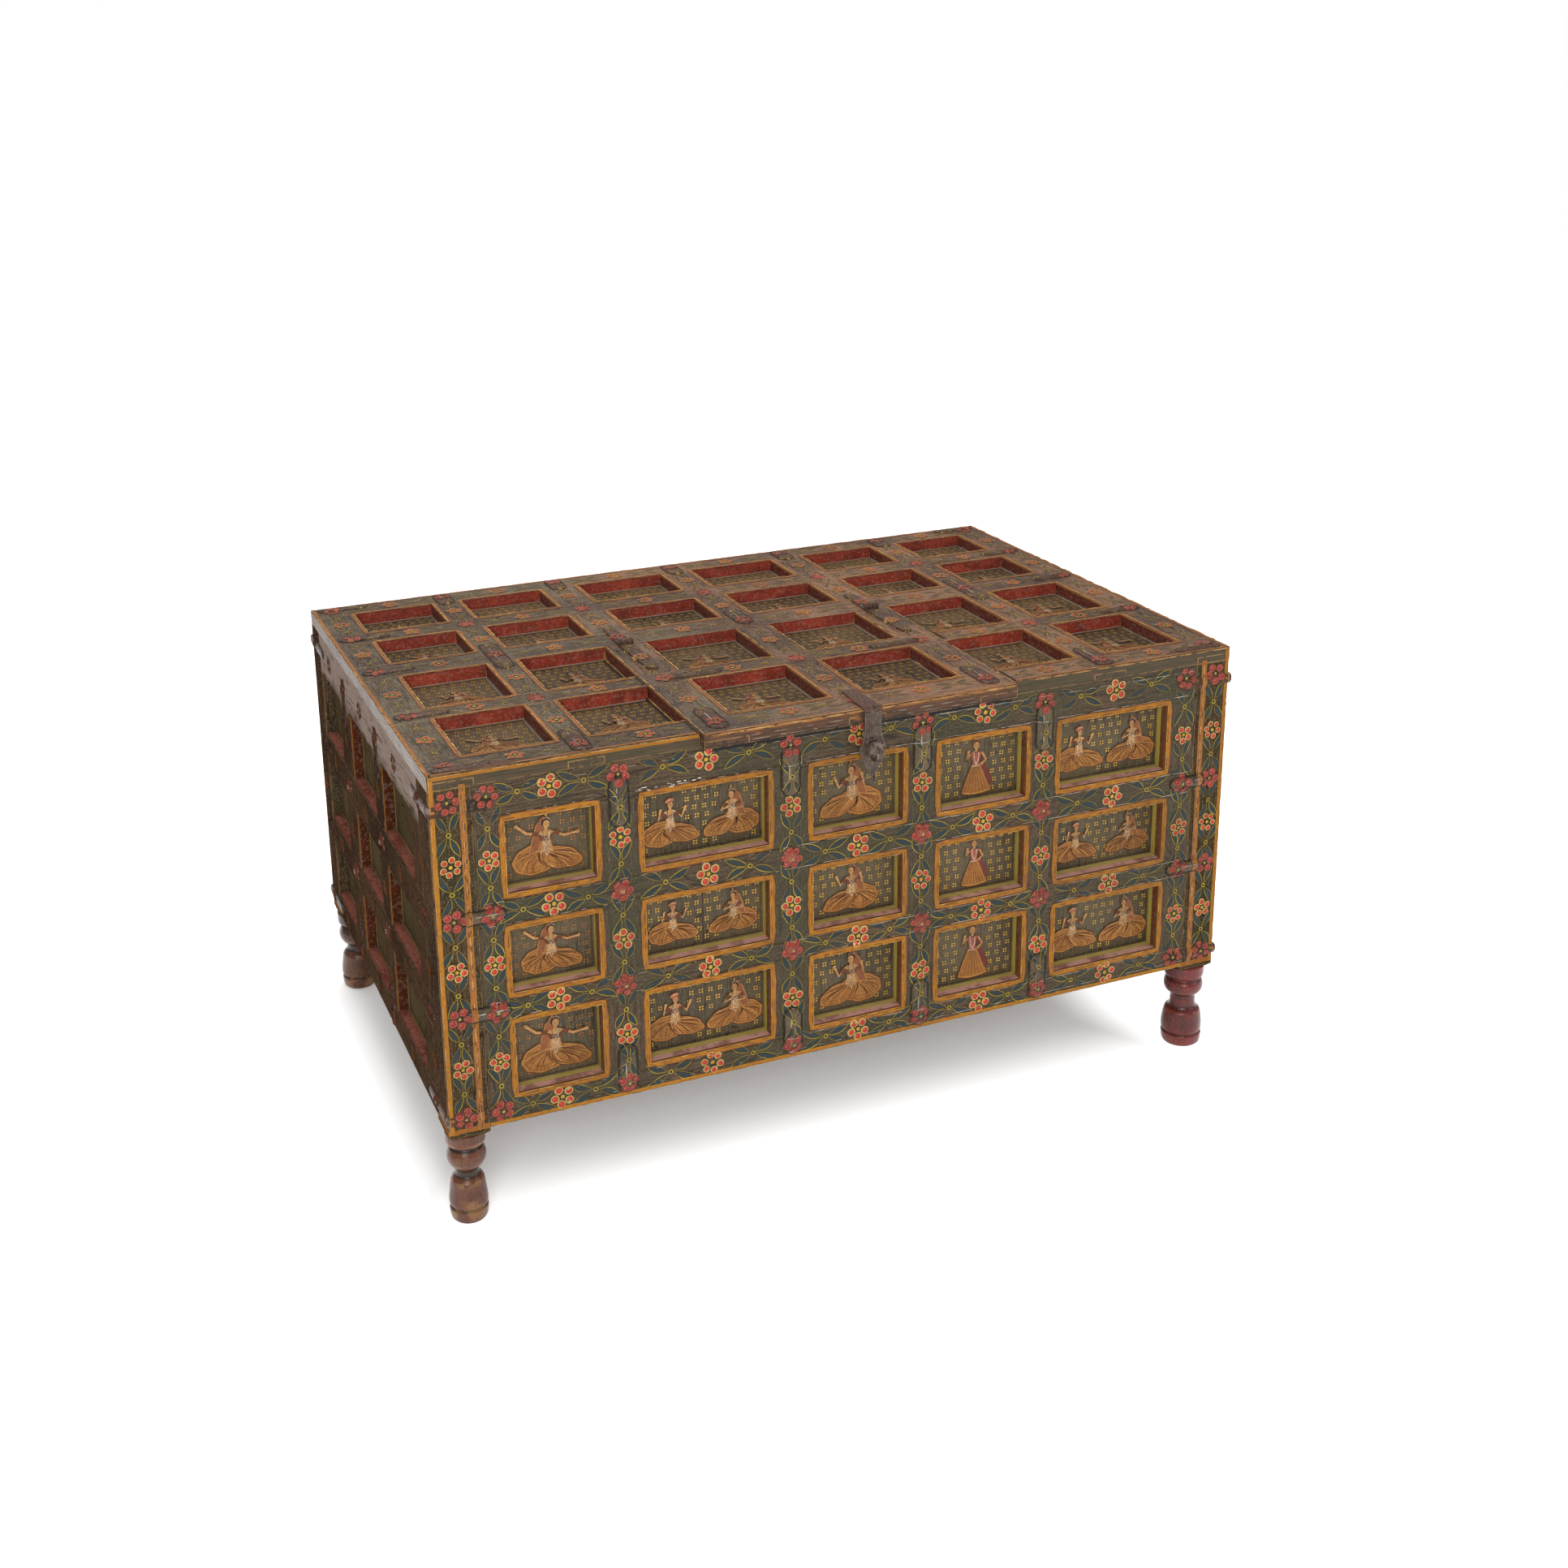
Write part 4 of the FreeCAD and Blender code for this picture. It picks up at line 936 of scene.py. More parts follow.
    def border(self, opening, width, colour="ochre", level=line_level):
        """A painted band round an opening, mitred, with a hand-drawn outer edge."""
        (u0, u1), (v0, v1) = opening
        corners = corners_of(opening)
        inner, outer = [], []
        for a, b in zip(corners, corners[1:] + corners[:1]):
            run = math.dist(a, b)
            steps = max(2, round(run / (9 * mm)))
            du, dv = (b[0] - a[0]) / run, (b[1] - a[1]) / run
            for k in range(steps):
                w = width * (1 + dice.uniform(-0.07, 0.07))
                along = k / steps * run
                inner.append((a[0] + du * along, a[1] + dv * along))
                if k == 0:
                    w *= 0.72
                    along -= w
                outer.append((a[0] + du * along + dv * w, a[1] + dv * along - du * w))
        lip = 0.35 * mm
        inner = [(min(max(p, u0), u1), min(max(q, v0), v1)) for p, q in inner]
        inner = [(p + math.copysign(lip, p - middle((u0, u1))), q + math.copysign(lip, q - middle((v0, v1))))
                 for p, q in inner]
        count = len(inner)
        faces = [(i, count + i, count + (i + 1) % count, (i + 1) % count) for i in range(count)]
        self.stroke(inner + outer, faces, colour, level, 0.05)
        self.line(outer, 0.7 * mm, "robe_dark", level + 1, closed=True)
        self.rub_round(opening, width * 0.35, colour="jamb", cover=0.35, width=width * 0.16, level=level + 1)
        self.rub_round(opening, width * 0.75, colour="ochre_worn", cover=0.5, width=width * 0.30,
                       level=level + 1)

    def outline(self, span_u, span_v):
        """A painted shadow line round a strap and a broken painted highlight along its crest."""
        half = min(span_u[1] - span_u[0], span_v[1] - span_v[0]) / 2
        upright = span_v[1] - span_v[0] > span_u[1] - span_u[0]
        u, v = middle(span_u), middle(span_v)
        reach = (span_v[1] - v if upright else span_u[1] - u) - half
        points = []
        for i in range(20):
            angle = math.tau * (i + 0.5) / 20
            p, q = math.cos(angle) * (half + strap_margin), math.sin(angle) * (half + strap_margin)
            points.append((u + p, v + q + math.copysign(reach, q)) if upright
                          else (u + p + math.copysign(reach, p), v + q))
        # Painted shadow: a dark line round the strap
        self.line(points, 1.3 * mm, "gap", 12, closed=True)
        if upright:
            ends = (u - half * 0.35, v - reach), (u - half * 0.35, v + reach)
        else:
            ends = (u - reach, v + half * 0.35), (u + reach, v + half * 0.35)
        # Painted highlight: broken light strokes along the crest, in the dust tone
        self.rub(*ends, "dust", 0.45, 1.6 * mm, 15)

    def rub(self, a, b, colour="wear", cover=0.55, width=1.3 * mm, level=overlay_level):
        """Broken strokes along a line, where handling has worn the paint through; the same strokes paint
        highlights on beads and strap crests.
        """
        run = math.dist(a, b)
        at = dice.uniform(0, 12 * mm)
        while at < run - 3 * mm:
            stretch = dice.uniform(6, 60) * mm * cover
            end = min(at + stretch, run)
            count = max(2, round((end - at) / (3.5 * mm)))
            path = [between(a, b, (at + (end - at) * i / count) / run) for i in range(count + 1)]
            self.line(path, width * dice.uniform(0.5, 1.2), colour, level, taper=True, even=0.25)
            at = end + dice.uniform(3, 30) * mm * (1 - cover)

    def rub_round(self, opening, inset, **how):
        """Worn strokes along the four edges of an opening."""
        corners = corners_of(opening, -inset)
        for a, b in zip(corners, corners[1:] + corners[:1]):
            self.rub(a, b, **how)

    def finish(self, material):
        made = new_object(self.name, self.vertices, self.faces, self.body, material, "painted_wood", False)
        layer = made.data.color_attributes.new("tone", "FLOAT_COLOR", "POINT")
        for value, colour in zip(layer.data, self.tones):
            value.color = (*colour, 1)


def surface_of(objects):
    """What a stroke of paint can lie on, as one tree for casting rays."""
    shapes = [([v.co.copy() for v in one.data.vertices], [tuple(p.vertices) for p in one.data.polygons])
              for one in objects]
    return BVHTree.FromPolygons(*join_shapes(shapes))


# Figures
def beads(canvas, points, level, radius=0.75 * mm, pitch=2.1 * mm):
    """A string of light dots along a path."""
    for a, b in zip(points, points[1:]):
        run = math.dist(a, b)
        for k in range(max(1, round(run / pitch))):
            canvas.disc(*between(a, b, k * pitch / run if run else 0), radius, "bead", level, 6)


def face(canvas, u, v, size, turn, level):
    """A small plain head: an oval with calm closed eyes, set level, half-way down it."""
    canvas.patch(ring_of(u, v, size * 0.40, size * 0.5), "skin", level)
    for side in (-1, 1):
        eye = u + side * size * 0.17 + turn * size * 0.08
        canvas.line([(eye - size * 0.09, v), (eye + size * 0.09, v)], size * 0.07, "hair", level + 1)
    mouth = u + turn * size * 0.08
    canvas.line([(mouth - size * 0.08, v - size * 0.27), (mouth + size * 0.08, v - size * 0.27)],
                size * 0.06, "robe_dark", level + 1)


def folds(canvas, waist, centre, radii, tilt, count, level):
    """Curved fold lines that run from the waist to the hem of a cloth."""
    for i in range(count):
        angle = math.tau * (i + 0.5) / count + dice.uniform(-0.05, 0.05)
        p = math.cos(angle) * radii[0] * 0.90
        hem = tilted(centre, p, math.sin(angle) * radii[1] * 0.90, tilt)
        if hem[1] > waist[1] - radii[1] * 0.15:
            continue
        bend = dice.uniform(0.05, 0.30) * radii[0] * math.copysign(1, p)
        path = [(waist[0] + (hem[0] - waist[0]) * t + bend * math.sin(math.pi * t),
                 waist[1] + (hem[1] - waist[1]) * t) for t in (0.22, 0.45, 0.7, 1.0)]
        shade = "robe_light" if i % 4 == 1 else "robe_dark"
        canvas.line(path, dice.uniform(0.6, 1.2) * mm, shade, level, taper=True, even=0.2)


def spotted(canvas, centre, radii, tilt, level):
    """Small spots in rings over a printed cloth."""
    for ring, count in ((0.35, 6), (0.62, 11), (0.86, 16)):
        for i in range(count):
            angle = math.tau * i / count + ring
            spot = tilted(centre, math.cos(angle) * radii[0] * ring, math.sin(angle) * radii[1] * ring, tilt)
            canvas.disc(*spot, 0.55 * mm, "robe_dark", level, 5)


def cloth(canvas, centre, radii, tilt, level, lobes, depth, point=0.0, way=1):
    """A gathered cloth with a scalloped hem, a darker line round it and, on one side, a pointed end."""
    points = []
    for i in range(48):
        angle = math.tau * i / 48
        wave = 1 + depth * math.sin(lobes * angle + centre[0] * 900)
        wave += point * max(0.0, way * math.cos(angle + way * 0.25)) ** 9
        p, q = math.cos(angle) * radii[0] * wave, math.sin(angle) * radii[1] * wave
        points.append(tilted(centre, p, q, tilt))
    canvas.patch(points, "robe", level, 0.12)
    canvas.line(points, 0.9 * mm, "robe_dark", level + 1, closed=True)
    for share, shade in ((0.90, "robe_light"), (0.84, "robe_dark"), (0.58, "robe_dark")):
        hem = [between(centre, place, share) for place in points]
        canvas.line(hem, 0.5 * mm, shade, level + 1, closed=True)


def places_about(u, v, size, facing=1):
    """A function that turns pairs of shares of a figure's height into places about its middle."""
    return lambda *shares: [(u + facing * p * size, v + q * size) for p, q in shares]


# Arms as shoulder, elbow and hand, in shares of the figure's height
spread_arms = (((-0.12, 0.16), (-0.30, 0.20), (-0.46, 0.34)), ((0.12, 0.16), (0.28, 0.08), (0.50, 0.10)))
raised_arms = (((-0.12, 0.16), (-0.22, 0.04), (-0.18, 0.22)), ((0.12, 0.16), (0.22, 0.04), (0.30, 0.22)))
folded_arms = (((-0.12, 0.16), (-0.20, 0.02), (-0.02, 0.02)), ((0.12, 0.16), (0.21, 0.03), (0.05, 0.08)))
standing_arms = (((-0.10, 0.20), (-0.17, 0.08), (-0.13, 0.24)), ((0.10, 0.20), (0.17, 0.08), (0.10, 0.02)))


def seated(canvas, u, v, size, facing, arms, headgear):
    """A robed person who sits on gathered skirts, in shares of the height."""
    s, f, base = size, facing, figure_level
    even, turned = places_about(u, v, s), places_about(u, v, s, f)
    rear, knee, hip, waist = turned((-0.17, -0.24), (0.20, -0.27), (-0.04, -0.10), (-0.06, -0.12))
    cloth(canvas, rear, (s * 0.38, s * 0.25), f * 0.12, base, 9, 0.025)
    spotted(canvas, rear, (s * 0.36, s * 0.23), f * 0.12, base + 2)
    folds(canvas, hip, rear, (s * 0.38, s * 0.25), f * 0.12, 28, base + 2)
    cloth(canvas, knee, (s * 0.33, s * 0.18), -f * 0.22, base + 3, 7, 0.03, 0.18, f)
    folds(canvas, waist, knee, (s * 0.33, s * 0.18), -f * 0.22, 30, base + 5)
    if headgear == "veil":
        veil = turned((-0.05, 0.40), (-0.15, 0.30), (-0.22, 0.08), (-0.27, -0.14), (-0.13, -0.10),
                      (-0.02, 0.22))
        canvas.patch(veil, "veil", base + 6)
        canvas.line(veil, 0.7 * mm, "robe_light", base + 7, closed=True)
    torso = even((-0.10, -0.13), (0.10, -0.13), (0.075, 0.02), (0.125, 0.17), (0.06, 0.205), (-0.06, 0.205),
                 (-0.125, 0.17), (-0.075, 0.02))
    canvas.patch(torso, "skin", base + 8)
    bodice = even((-0.085, 0.04), (0.085, 0.04), (0.125, 0.16), (0, 0.10), (-0.125, 0.16))
    canvas.patch(bodice, "robe_dark", base + 9)
    canvas.line(turned((0, 0.19), (0.01, 0.25)), s * 0.05, "skin", base + 9)
    for arm in arms:
        shoulder, elbow, hand = turned(*arm)
        canvas.line([shoulder, elbow, hand], s * 0.060, "robe_dark", base + 10)
        canvas.line([shoulder, elbow, hand], s * 0.042, "skin", base + 11)
        canvas.line([shoulder, between(shoulder, elbow, 0.55)], s * 0.062, "robe_dark", base + 12)
        canvas.disc(*hand, s * 0.032, "skin", base + 12, 8)
        for share in (0.0, 0.70, 0.85):
            bangle = [between(elbow, hand, share), between(elbow, hand, share + 0.04)]
            beads(canvas, bangle, base + 13, 0.6 * mm, 1.4 * mm)
    head_u, head_v = u + f * s * 0.01, v + s * 0.31
    about_head = places_about(head_u, head_v, s)
    if headgear == "veil":
        hood = ring_of(head_u - f * s * 0.03, head_v + s * 0.03, s * 0.085, s * 0.10)
        canvas.patch(hood, "veil", base + 12)
        canvas.patch(about_head((-0.03, 0.10), (0.03, 0.10), (0, 0.19)), "robe_light", base + 12)
    canvas.patch(ring_of(head_u - f * s * 0.015, head_v + s * 0.02, s * 0.066, s * 0.076), "hair", base + 13)
    face(canvas, head_u, head_v - s * 0.005, s * 0.13, f, base + 14)
    if headgear == "turban":
        canvas.patch(ring_of(head_u - f * s * 0.02, head_v + s * 0.075, s * 0.085, s * 0.050, 12, f * 0.25),
                     "salmon", base + 16)
        canvas.line(places_about(head_u, head_v, s, f)((-0.10, 0.06), (0.06, 0.10)), s * 0.016, "robe_light",
                    base + 17)
    crown = ring_of(head_u, head_v + s * 0.01, s * 0.085, s * 0.095, 8)[1:4]
    beads(canvas, crown, base + 17, 0.5 * mm, 1.6 * mm)
    for drop, wide in ((0.05, 0.055), (-0.05, 0.045), (-0.20, 0.035)):
        chain = even((-0.05, 0.20), (-wide, drop + 0.08), (0, drop), (wide, drop + 0.08), (0.05, 0.20))
        beads(canvas, chain, base + 16, 0.62 * mm, 1.8 * mm)
    beads(canvas, even((-0.10, -0.12), (0.10, -0.12)), base + 16, 0.6 * mm, 1.8 * mm)


def standing(canvas, u, v, size, facing):
    """A robed person who stands in a long bell skirt, one hand raised."""
    s, base = size, figure_level
    even, turned = places_about(u, v, s), places_about(u, v, s, facing)
    skirt = even((-0.07, 0.02), (0.07, 0.02), (0.17, -0.20), (0.27, -0.44), (0.10, -0.47), (-0.10, -0.47),
                 (-0.24, -0.42), (-0.16, -0.20))
    canvas.patch([(p + (p - u) * 0.08, q - s * 0.01) for p, q in skirt], "robe_dark", base)
    canvas.patch(skirt, "robe", base + 1)
    for k in range(-3, 4):
        pleat = even((k * 0.015, -0.02), (k * 0.045, -0.25), (k * 0.068, -0.44))
        canvas.line(pleat, 0.8 * mm, "robe_dark", base + 2, taper=True)
    canvas.line(even((-0.22, -0.425), (0, -0.455), (0.24, -0.43)), 1.3 * mm, "robe_light", base + 3)
    scarf = turned((0.10, 0.20), (0.16, 0), (0.30, -0.30), (0.22, -0.34), (0.08, 0))
    canvas.patch(scarf, "salmon_dark", base + 2)
    torso = even((-0.065, 0), (0.065, 0), (0.055, 0.08), (0.10, 0.22), (-0.10, 0.22), (-0.055, 0.08))
    canvas.patch(torso, "salmon", base + 5)
    canvas.line(even((0, 0.21), (0, 0.27)), s * 0.045, "skin", base + 5)
    for arm in standing_arms:
        path = turned(*arm)
        canvas.line(path, s * 0.046, "robe_dark", base + 6)
        canvas.line(path, s * 0.036, "skin", base + 7)
        canvas.disc(*path[2], s * 0.028, "skin", base + 8, 8)
    head_v = v + s * 0.335
    canvas.patch(ring_of(u, head_v + s * 0.02, s * 0.07, s * 0.085), "veil", base + 8)
    peak = places_about(u, head_v, s)((-0.025, 0.08), (0.025, 0.08), (0, 0.165))
    canvas.patch(peak, "robe_light", base + 9)
    canvas.patch(ring_of(u, head_v + s * 0.015, s * 0.055, s * 0.065), "hair", base + 9)
    face(canvas, u, head_v - s * 0.005, s * 0.115, facing, base + 10)
    beads(canvas, even((-0.045, 0.23), (-0.035, 0.10), (0, 0.02), (0.035, 0.10), (0.045, 0.23)), base + 12)
    beads(canvas, even((-0.07, 0), (0.07, 0)), base + 12)


def people(canvas, opening, kind, size):
    """The figures of one field, and the ellipses they fill."""
    (u0, u1), (v0, v1) = opening
    u, v = (u0 + u1) / 2, (v0 + v1) / 2
    if kind == "stand":
        standing(canvas, u, v, size * 1.08, 1)
        return [(u, v, size * 0.28, size * 0.56)]
    if kind == "pair":
        left, right = u - (u1 - u0) * 0.25, u + (u1 - u0) * 0.25
        seated(canvas, left, v, size * 0.86, 1, raised_arms, "turban")
        seated(canvas, right, v, size * 0.86, -1, folded_arms, "veil")
        return [(p, v - size * 0.22, size * 0.46, size * 0.28) for p in (left, right)] + [
            (p, v + size * 0.2, size * 0.22, size * 0.32) for p in (left, right)]
    facing, arms = (1, spread_arms) if kind == "spread" else (-1, raised_arms)
    seated(canvas, u, v, size, facing, arms, "veil")
    return [(u, v - size * 0.22, size * 0.58, size * 0.30), (u, v + size * 0.2, size * 0.22, size * 0.36)]


def motifs(canvas, opening, filled, colour="dot"):
    """Rows of four-dot marks over a field, left out where a figure stands."""
    (u0, u1), (v0, v1) = opening
    wide, tall = u1 - u0 - 2 * field_inset, v1 - v0 - 2 * field_inset
    columns, rows = max(2, round(wide / motif_pitch)), max(2, round(tall / motif_pitch))
    for i in range(columns):
        for k in range(rows):
            shift = 0.25 if k % 2 else 0.0
            u = u0 + field_inset + wide * (i + 0.25 + shift) / (columns - 0.25)
            v = v0 + field_inset + tall * (k + 0.5) / rows
            if u > u1 - field_inset * 0.6 or any(((u - a) / p) ** 2 + ((v - b) / q) ** 2 < 1
                                                 for a, b, p, q in filled):
                continue
            for du, dv in ((1, 1), (-1, 1), (-1, -1), (1, -1)):
                canvas.disc(u + du * motif_spread, v + dv * motif_spread, motif_dot, colour, 6, 6)


# The wood and iron of the frame
dressing = {
    "front_wood_x": framed_wood("front_wood_x", sides["front"], "X"),
    "front_wood_z": framed_wood("front_wood_z", sides["front"], "Z"),
    "side_wood_y": framed_wood("side_wood_y", sides["side"], "Y"),
    "side_wood_z": framed_wood("side_wood_z", sides["side"], "Z"),
    "top_wood_x": framed_wood("top_wood_x", sides["top"], "X"),
    "top_wood_y": framed_wood("top_wood_y", sides["top"], "Y"),
    "post_wood": post_wood("post_wood"),
    "front_panel": panel_wood("front_panel", sides["front"], "Z", 0.25),
    "side_panel": panel_wood("side_panel", sides["side"], "Z", 0.0),
    "top_panel": panel_wood("top_panel", sides["top"], "Y", 0.16, "top_field", "top_field_dark"),
    "plain_x": plain_wood("plain_wood_x", "X"),
    "plain_z": plain_wood("plain_wood_z", "Z"),
    "front_iron": painted_iron("front_iron", "strap", "olive_dark", 0.20),
    "top_iron": painted_iron("top_iron", "strap_top", "top_dark", 0.16),
    "side_iron": painted_iron("side_iron", "strap_side", "side_dark", 0.0),
    "corner_iron": painted_iron("corner_iron", "strap_top", "olive_dark", 0.05),
    "boss_iron": painted_iron("boss_iron", "salmon", "salmon_dark", 0.15),
    "bare_iron": bare_iron("bare_iron", "iron"),
    # A lighter copy of the bare iron for the staple: painted light on its ring
    "lit_staple_iron": bare_iron("lit_staple_iron", "eye"),
    "leg_brown": turned_wood("leg_brown", "leg", "leg_dark", "wear", 0.30, 0.6, 0.9),
    "leg_red": turned_wood("leg_red", "leg_red", "leg_red_dark", "salmon", 0.3, 0.25, 0.45),
}
painting = decoration("painted_decoration", 0.18)
dull_painting = decoration("dull_decoration", 0.0)

front_rails = ("front_rail_bottom", "front_rail_lower", "front_rail_upper", "front_rail_top")
fixed_rails = ("top_rail_back", "top_rail_second", "top_rail_hinge", "top_rail_side_left",
               "top_rail_front_left")
right_fixed_rails = ("top_rail_side_right", "top_rail_front_right")
lid_rails = ("lid_rail_front", "lid_rail_middle")
lid_stiles = ("lid_stile_left", "lid_stile_middle", "lid_stile_right")
body_leaves = ("hinge_left_body_leaf", "hinge_right_body_leaf")
lid_leaves = ("hinge_left_lid_leaf", "hinge_right_lid_leaf")

dressed = {
    "front_wood_x": front_rails,
    "front_wood_z": ("front_stiles",),
    "post_wood": ("front_posts", "back_posts"),
    "side_wood_y": ("left_rails", "right_rails"),
    "side_wood_z": ("left_stiles", "right_stiles"),
    "top_wood_x": fixed_rails + right_fixed_rails + lid_rails,
    "top_wood_y": ("top_stiles",) + lid_stiles,
    "front_panel": ("front_boards",),
    "side_panel": ("left_boards", "right_boards"),
    "top_panel": ("top_boards", "lid_boards"),
    "plain_x": ("back_rail_bottom", "back_rail_top", "floor_cleats", "floor_boards"),
    "plain_z": ("back_boards",),
    "boss_iron": ("front_bosses", "left_bosses", "right_bosses", "top_bosses", "lid_boss"),
    "top_iron": body_leaves + lid_leaves + ("hasp_strap",),
    "bare_iron": ("hinge_left_pin", "hinge_right_pin", "hasp_pin", "hasp_plate"),
    "lit_staple_iron": ("staple",),
}
for material, names in dressed.items():
    for node in nodes_named(*names):
        node.data.materials.clear()
        node.data.materials.append(dressing[material])

for row, node in (("front", "front_posts"), ("back", "back_posts")):
    for end, box in zip(("left", "right"), loose_boxes(node)):
        shares, girth, finish_name = legs[f"{row}_{end}"]
        x, y = middle(box[0]), middle(box[1])
        square = post_body(x, y, box[2][1])
        shaft = new_object(f"{row}_{end}_post", *square, "chest", dressing["post_wood"], "painted_wood",
                           smooth=False)
        turned = turned_leg(shares, x, y, leg_radius * girth, x * 9)
        leg = new_object(f"{row}_{end}_leg", *turned, "chest", dressing[finish_name], "painted_wood")
        mark_swells(leg, x, y, leg_radius * girth)
        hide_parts(node)
        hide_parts(node)

# Straps of each side: the axis and sign that they face, the rise of their crest, body and iron
strap_sets = {
    "front": (1, -1, front_strap_rise, "chest", "front_iron"),
    "left": (0, -1, strap_rise, "chest", "side_iron"),
    "right": (0, 1, strap_rise, "chest", "side_iron"),
    "top": (2, 1, strap_rise, "chest", "top_iron"),
    "lid": (2, 1, strap_rise, "lid", "top_iron"),
}
straps = {}
for place, (axis, sign, crest, body, iron) in strap_sets.items():
    bars = join_shapes([bar_over(box, axis, sign, crest) for box in loose_boxes(f"{place}_straps")])
    straps[place] = new_object(f"{place}_half_rounds", *bars, body, dressing[iron], "painted_iron")
    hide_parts(f"{place}_straps")
bands = join_shapes([corner_bar(box) for box in loose_boxes("corner_straps")])
corner_bands = new_object("corner_half_rounds", *bands, "chest", dressing["corner_iron"], "painted_iron")
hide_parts("corner_straps")


# Painting the front
def paint_front():
    surface = surface_of(nodes_named(*front_rails, "front_stiles", "front_posts", "front_boards",
                                     "front_bosses", "top_rail_front_left", "top_rail_front_right",
                                     "top_rail_side_left", "top_stiles") + [straps["front"], corner_bands])
    front = Canvas("front_painting", "chest", X, Z, surface, "olive", front_fade)
    stile_spans = merged(intervals(["front_stiles"], 0) + [(left_x, left_x + post_width),
                                                           (right_x - post_width, right_x)])
    rail_spans = intervals(front_rails, 2)
    columns, rows = gaps_between(stile_spans), gaps_between(rail_spans)
    paint_front_fields(front, columns, rows)
    paint_front_flowers(front, columns, rows, stile_spans, rail_spans)
    paint_front_edges(front, rail_spans)
    paint_front_wear(front, columns, rows, rail_spans)
    front.finish(painting)


def paint_front_fields(front, columns, rows):
    """Borders round the openings, and figures among small marks in them."""
    for opening_u, kind in zip(columns, ("spread", "pair", "lean", "stand", "pair")):
        for opening_v in rows:
            opening = (opening_u, opening_v)
            front.border(opening, border_width)
            front.rub_round(opening, 0.8 * mm, cover=0.35, width=1.1 * mm)
            front.enter(opening)
            front.fade = figure_fade
            filled = people(front, opening, kind, (opening_v[1] - opening_v[0]) * front_figure_share)
            front.fade = front_fade
            motifs(front, opening, filled, "dull_dot" if opening_u == columns[0] else "dot")
            front.line(corners_of(opening, 3 * mm), 1.0 * mm, "hair", ground_level, closed=True)
            front.leave()


def paint_front_flowers(front, columns, rows, stile_spans, rail_spans):
    """Flowers at the middles and crossings of the battens, with sprigs between them."""
    edge_flowers = [left_x + length * share for share in
                    (outer_flower_share, inner_flower_share, 1 - inner_flower_share, 1 - outer_flower_share)]
    free_stiles = middles(stile_spans[1:-1])
    rail_middles = middles(rail_spans[:3]) + [(rail_spans[3][0] + top_z) / 2]
    stops = edge_flowers[:2] + sorted(middles(columns) + free_stiles) + edge_flowers[2:]
    for v in rail_middles:
        for u in middles(columns):
            front.rosette(u, v)
        for u in free_stiles + edge_flowers:
            front.rosette(u, v, plain_rosette, plain=True)
        for a, b in zip(stops[1:-1], stops[2:-1]):
            front.sprig((a + b) / 2, v, flat_sprig, min(leaf_length, (b - a) * 0.36))
    stops = sorted(rail_middles + middles(rows))
    for u in free_stiles + edge_flowers:
        for v in middles(rows):
            front.rosette(u, v, rosette_radius * (0.92 if u in free_stiles else 0.85))
        for a, b in zip(stops, stops[1:]):
            front.sprig(u, (a + b) / 2, steep_sprig, leaf_length * 0.82, leaf_width * 0.9)


def paint_front_edges(front, rail_spans):
    """Ochre lines along the edges of the front, worn wood on its arrises, a painted shadow and highlight on
    its straps, and painted highlights along its beads.
    """
    bottom_z = rail_spans[0][0]
    inner = (left_x + post_width, right_x - post_width)
    upper_line = top_z - edge_inset
    for a, b in ((left_x, lid_x[0]), (lid_x[1], right_x)):
        front.rule((a + 1 * mm, upper_line), (b - 3 * mm, upper_line), edge_line_width, "ochre")
    for u in (left_x + edge_inset + 1 * mm, right_x - edge_inset - 1 * mm):
        front.rule((u, bottom_z), (u, upper_line), edge_line_width * 1.2, "ochre")
    front.rule((inner[0], bottom_z + edge_inset), (inner[1], bottom_z + edge_inset), edge_line_width, "ochre")
    for u in (left_x + 2 * mm, right_x - 2 * mm):
        front.rub((u, bottom_z), (u, top_z), cover=0.6)
    front.rub((left_x, top_z - 1.2 * mm), (right_x, top_z - 1.2 * mm), cover=0.75, width=1.8 * mm)
    front.rub((inner[0], bottom_z + 1 * mm), (inner[1], bottom_z + 1 * mm), cover=0.5)
    # Painted shadow lines round the straps and painted highlights on their crests
    for box in loose_boxes("front_straps"):
        front.outline(box[0], box[2])
    # Painted highlights along the beads of the rails: sparse light strokes at the left, denser and near-white
    # ones from the shiny stretch to the right
    glint_from = left_x + length * glint_share
    for rail in rail_spans:
        for v in (rail[0] + bead_inset, rail[1] - bead_inset):
            front.rub((inner[0], v), (glint_from, v), "dust", 0.25, 0.8 * mm)
            front.rub((glint_from, v), (inner[1], v), "dust", 0.70, 0.8 * mm)
            front.rub((glint_from, v + 0.6 * mm), (inner[1], v + 0.6 * mm), "glint_white", 0.45, 0.6 * mm)


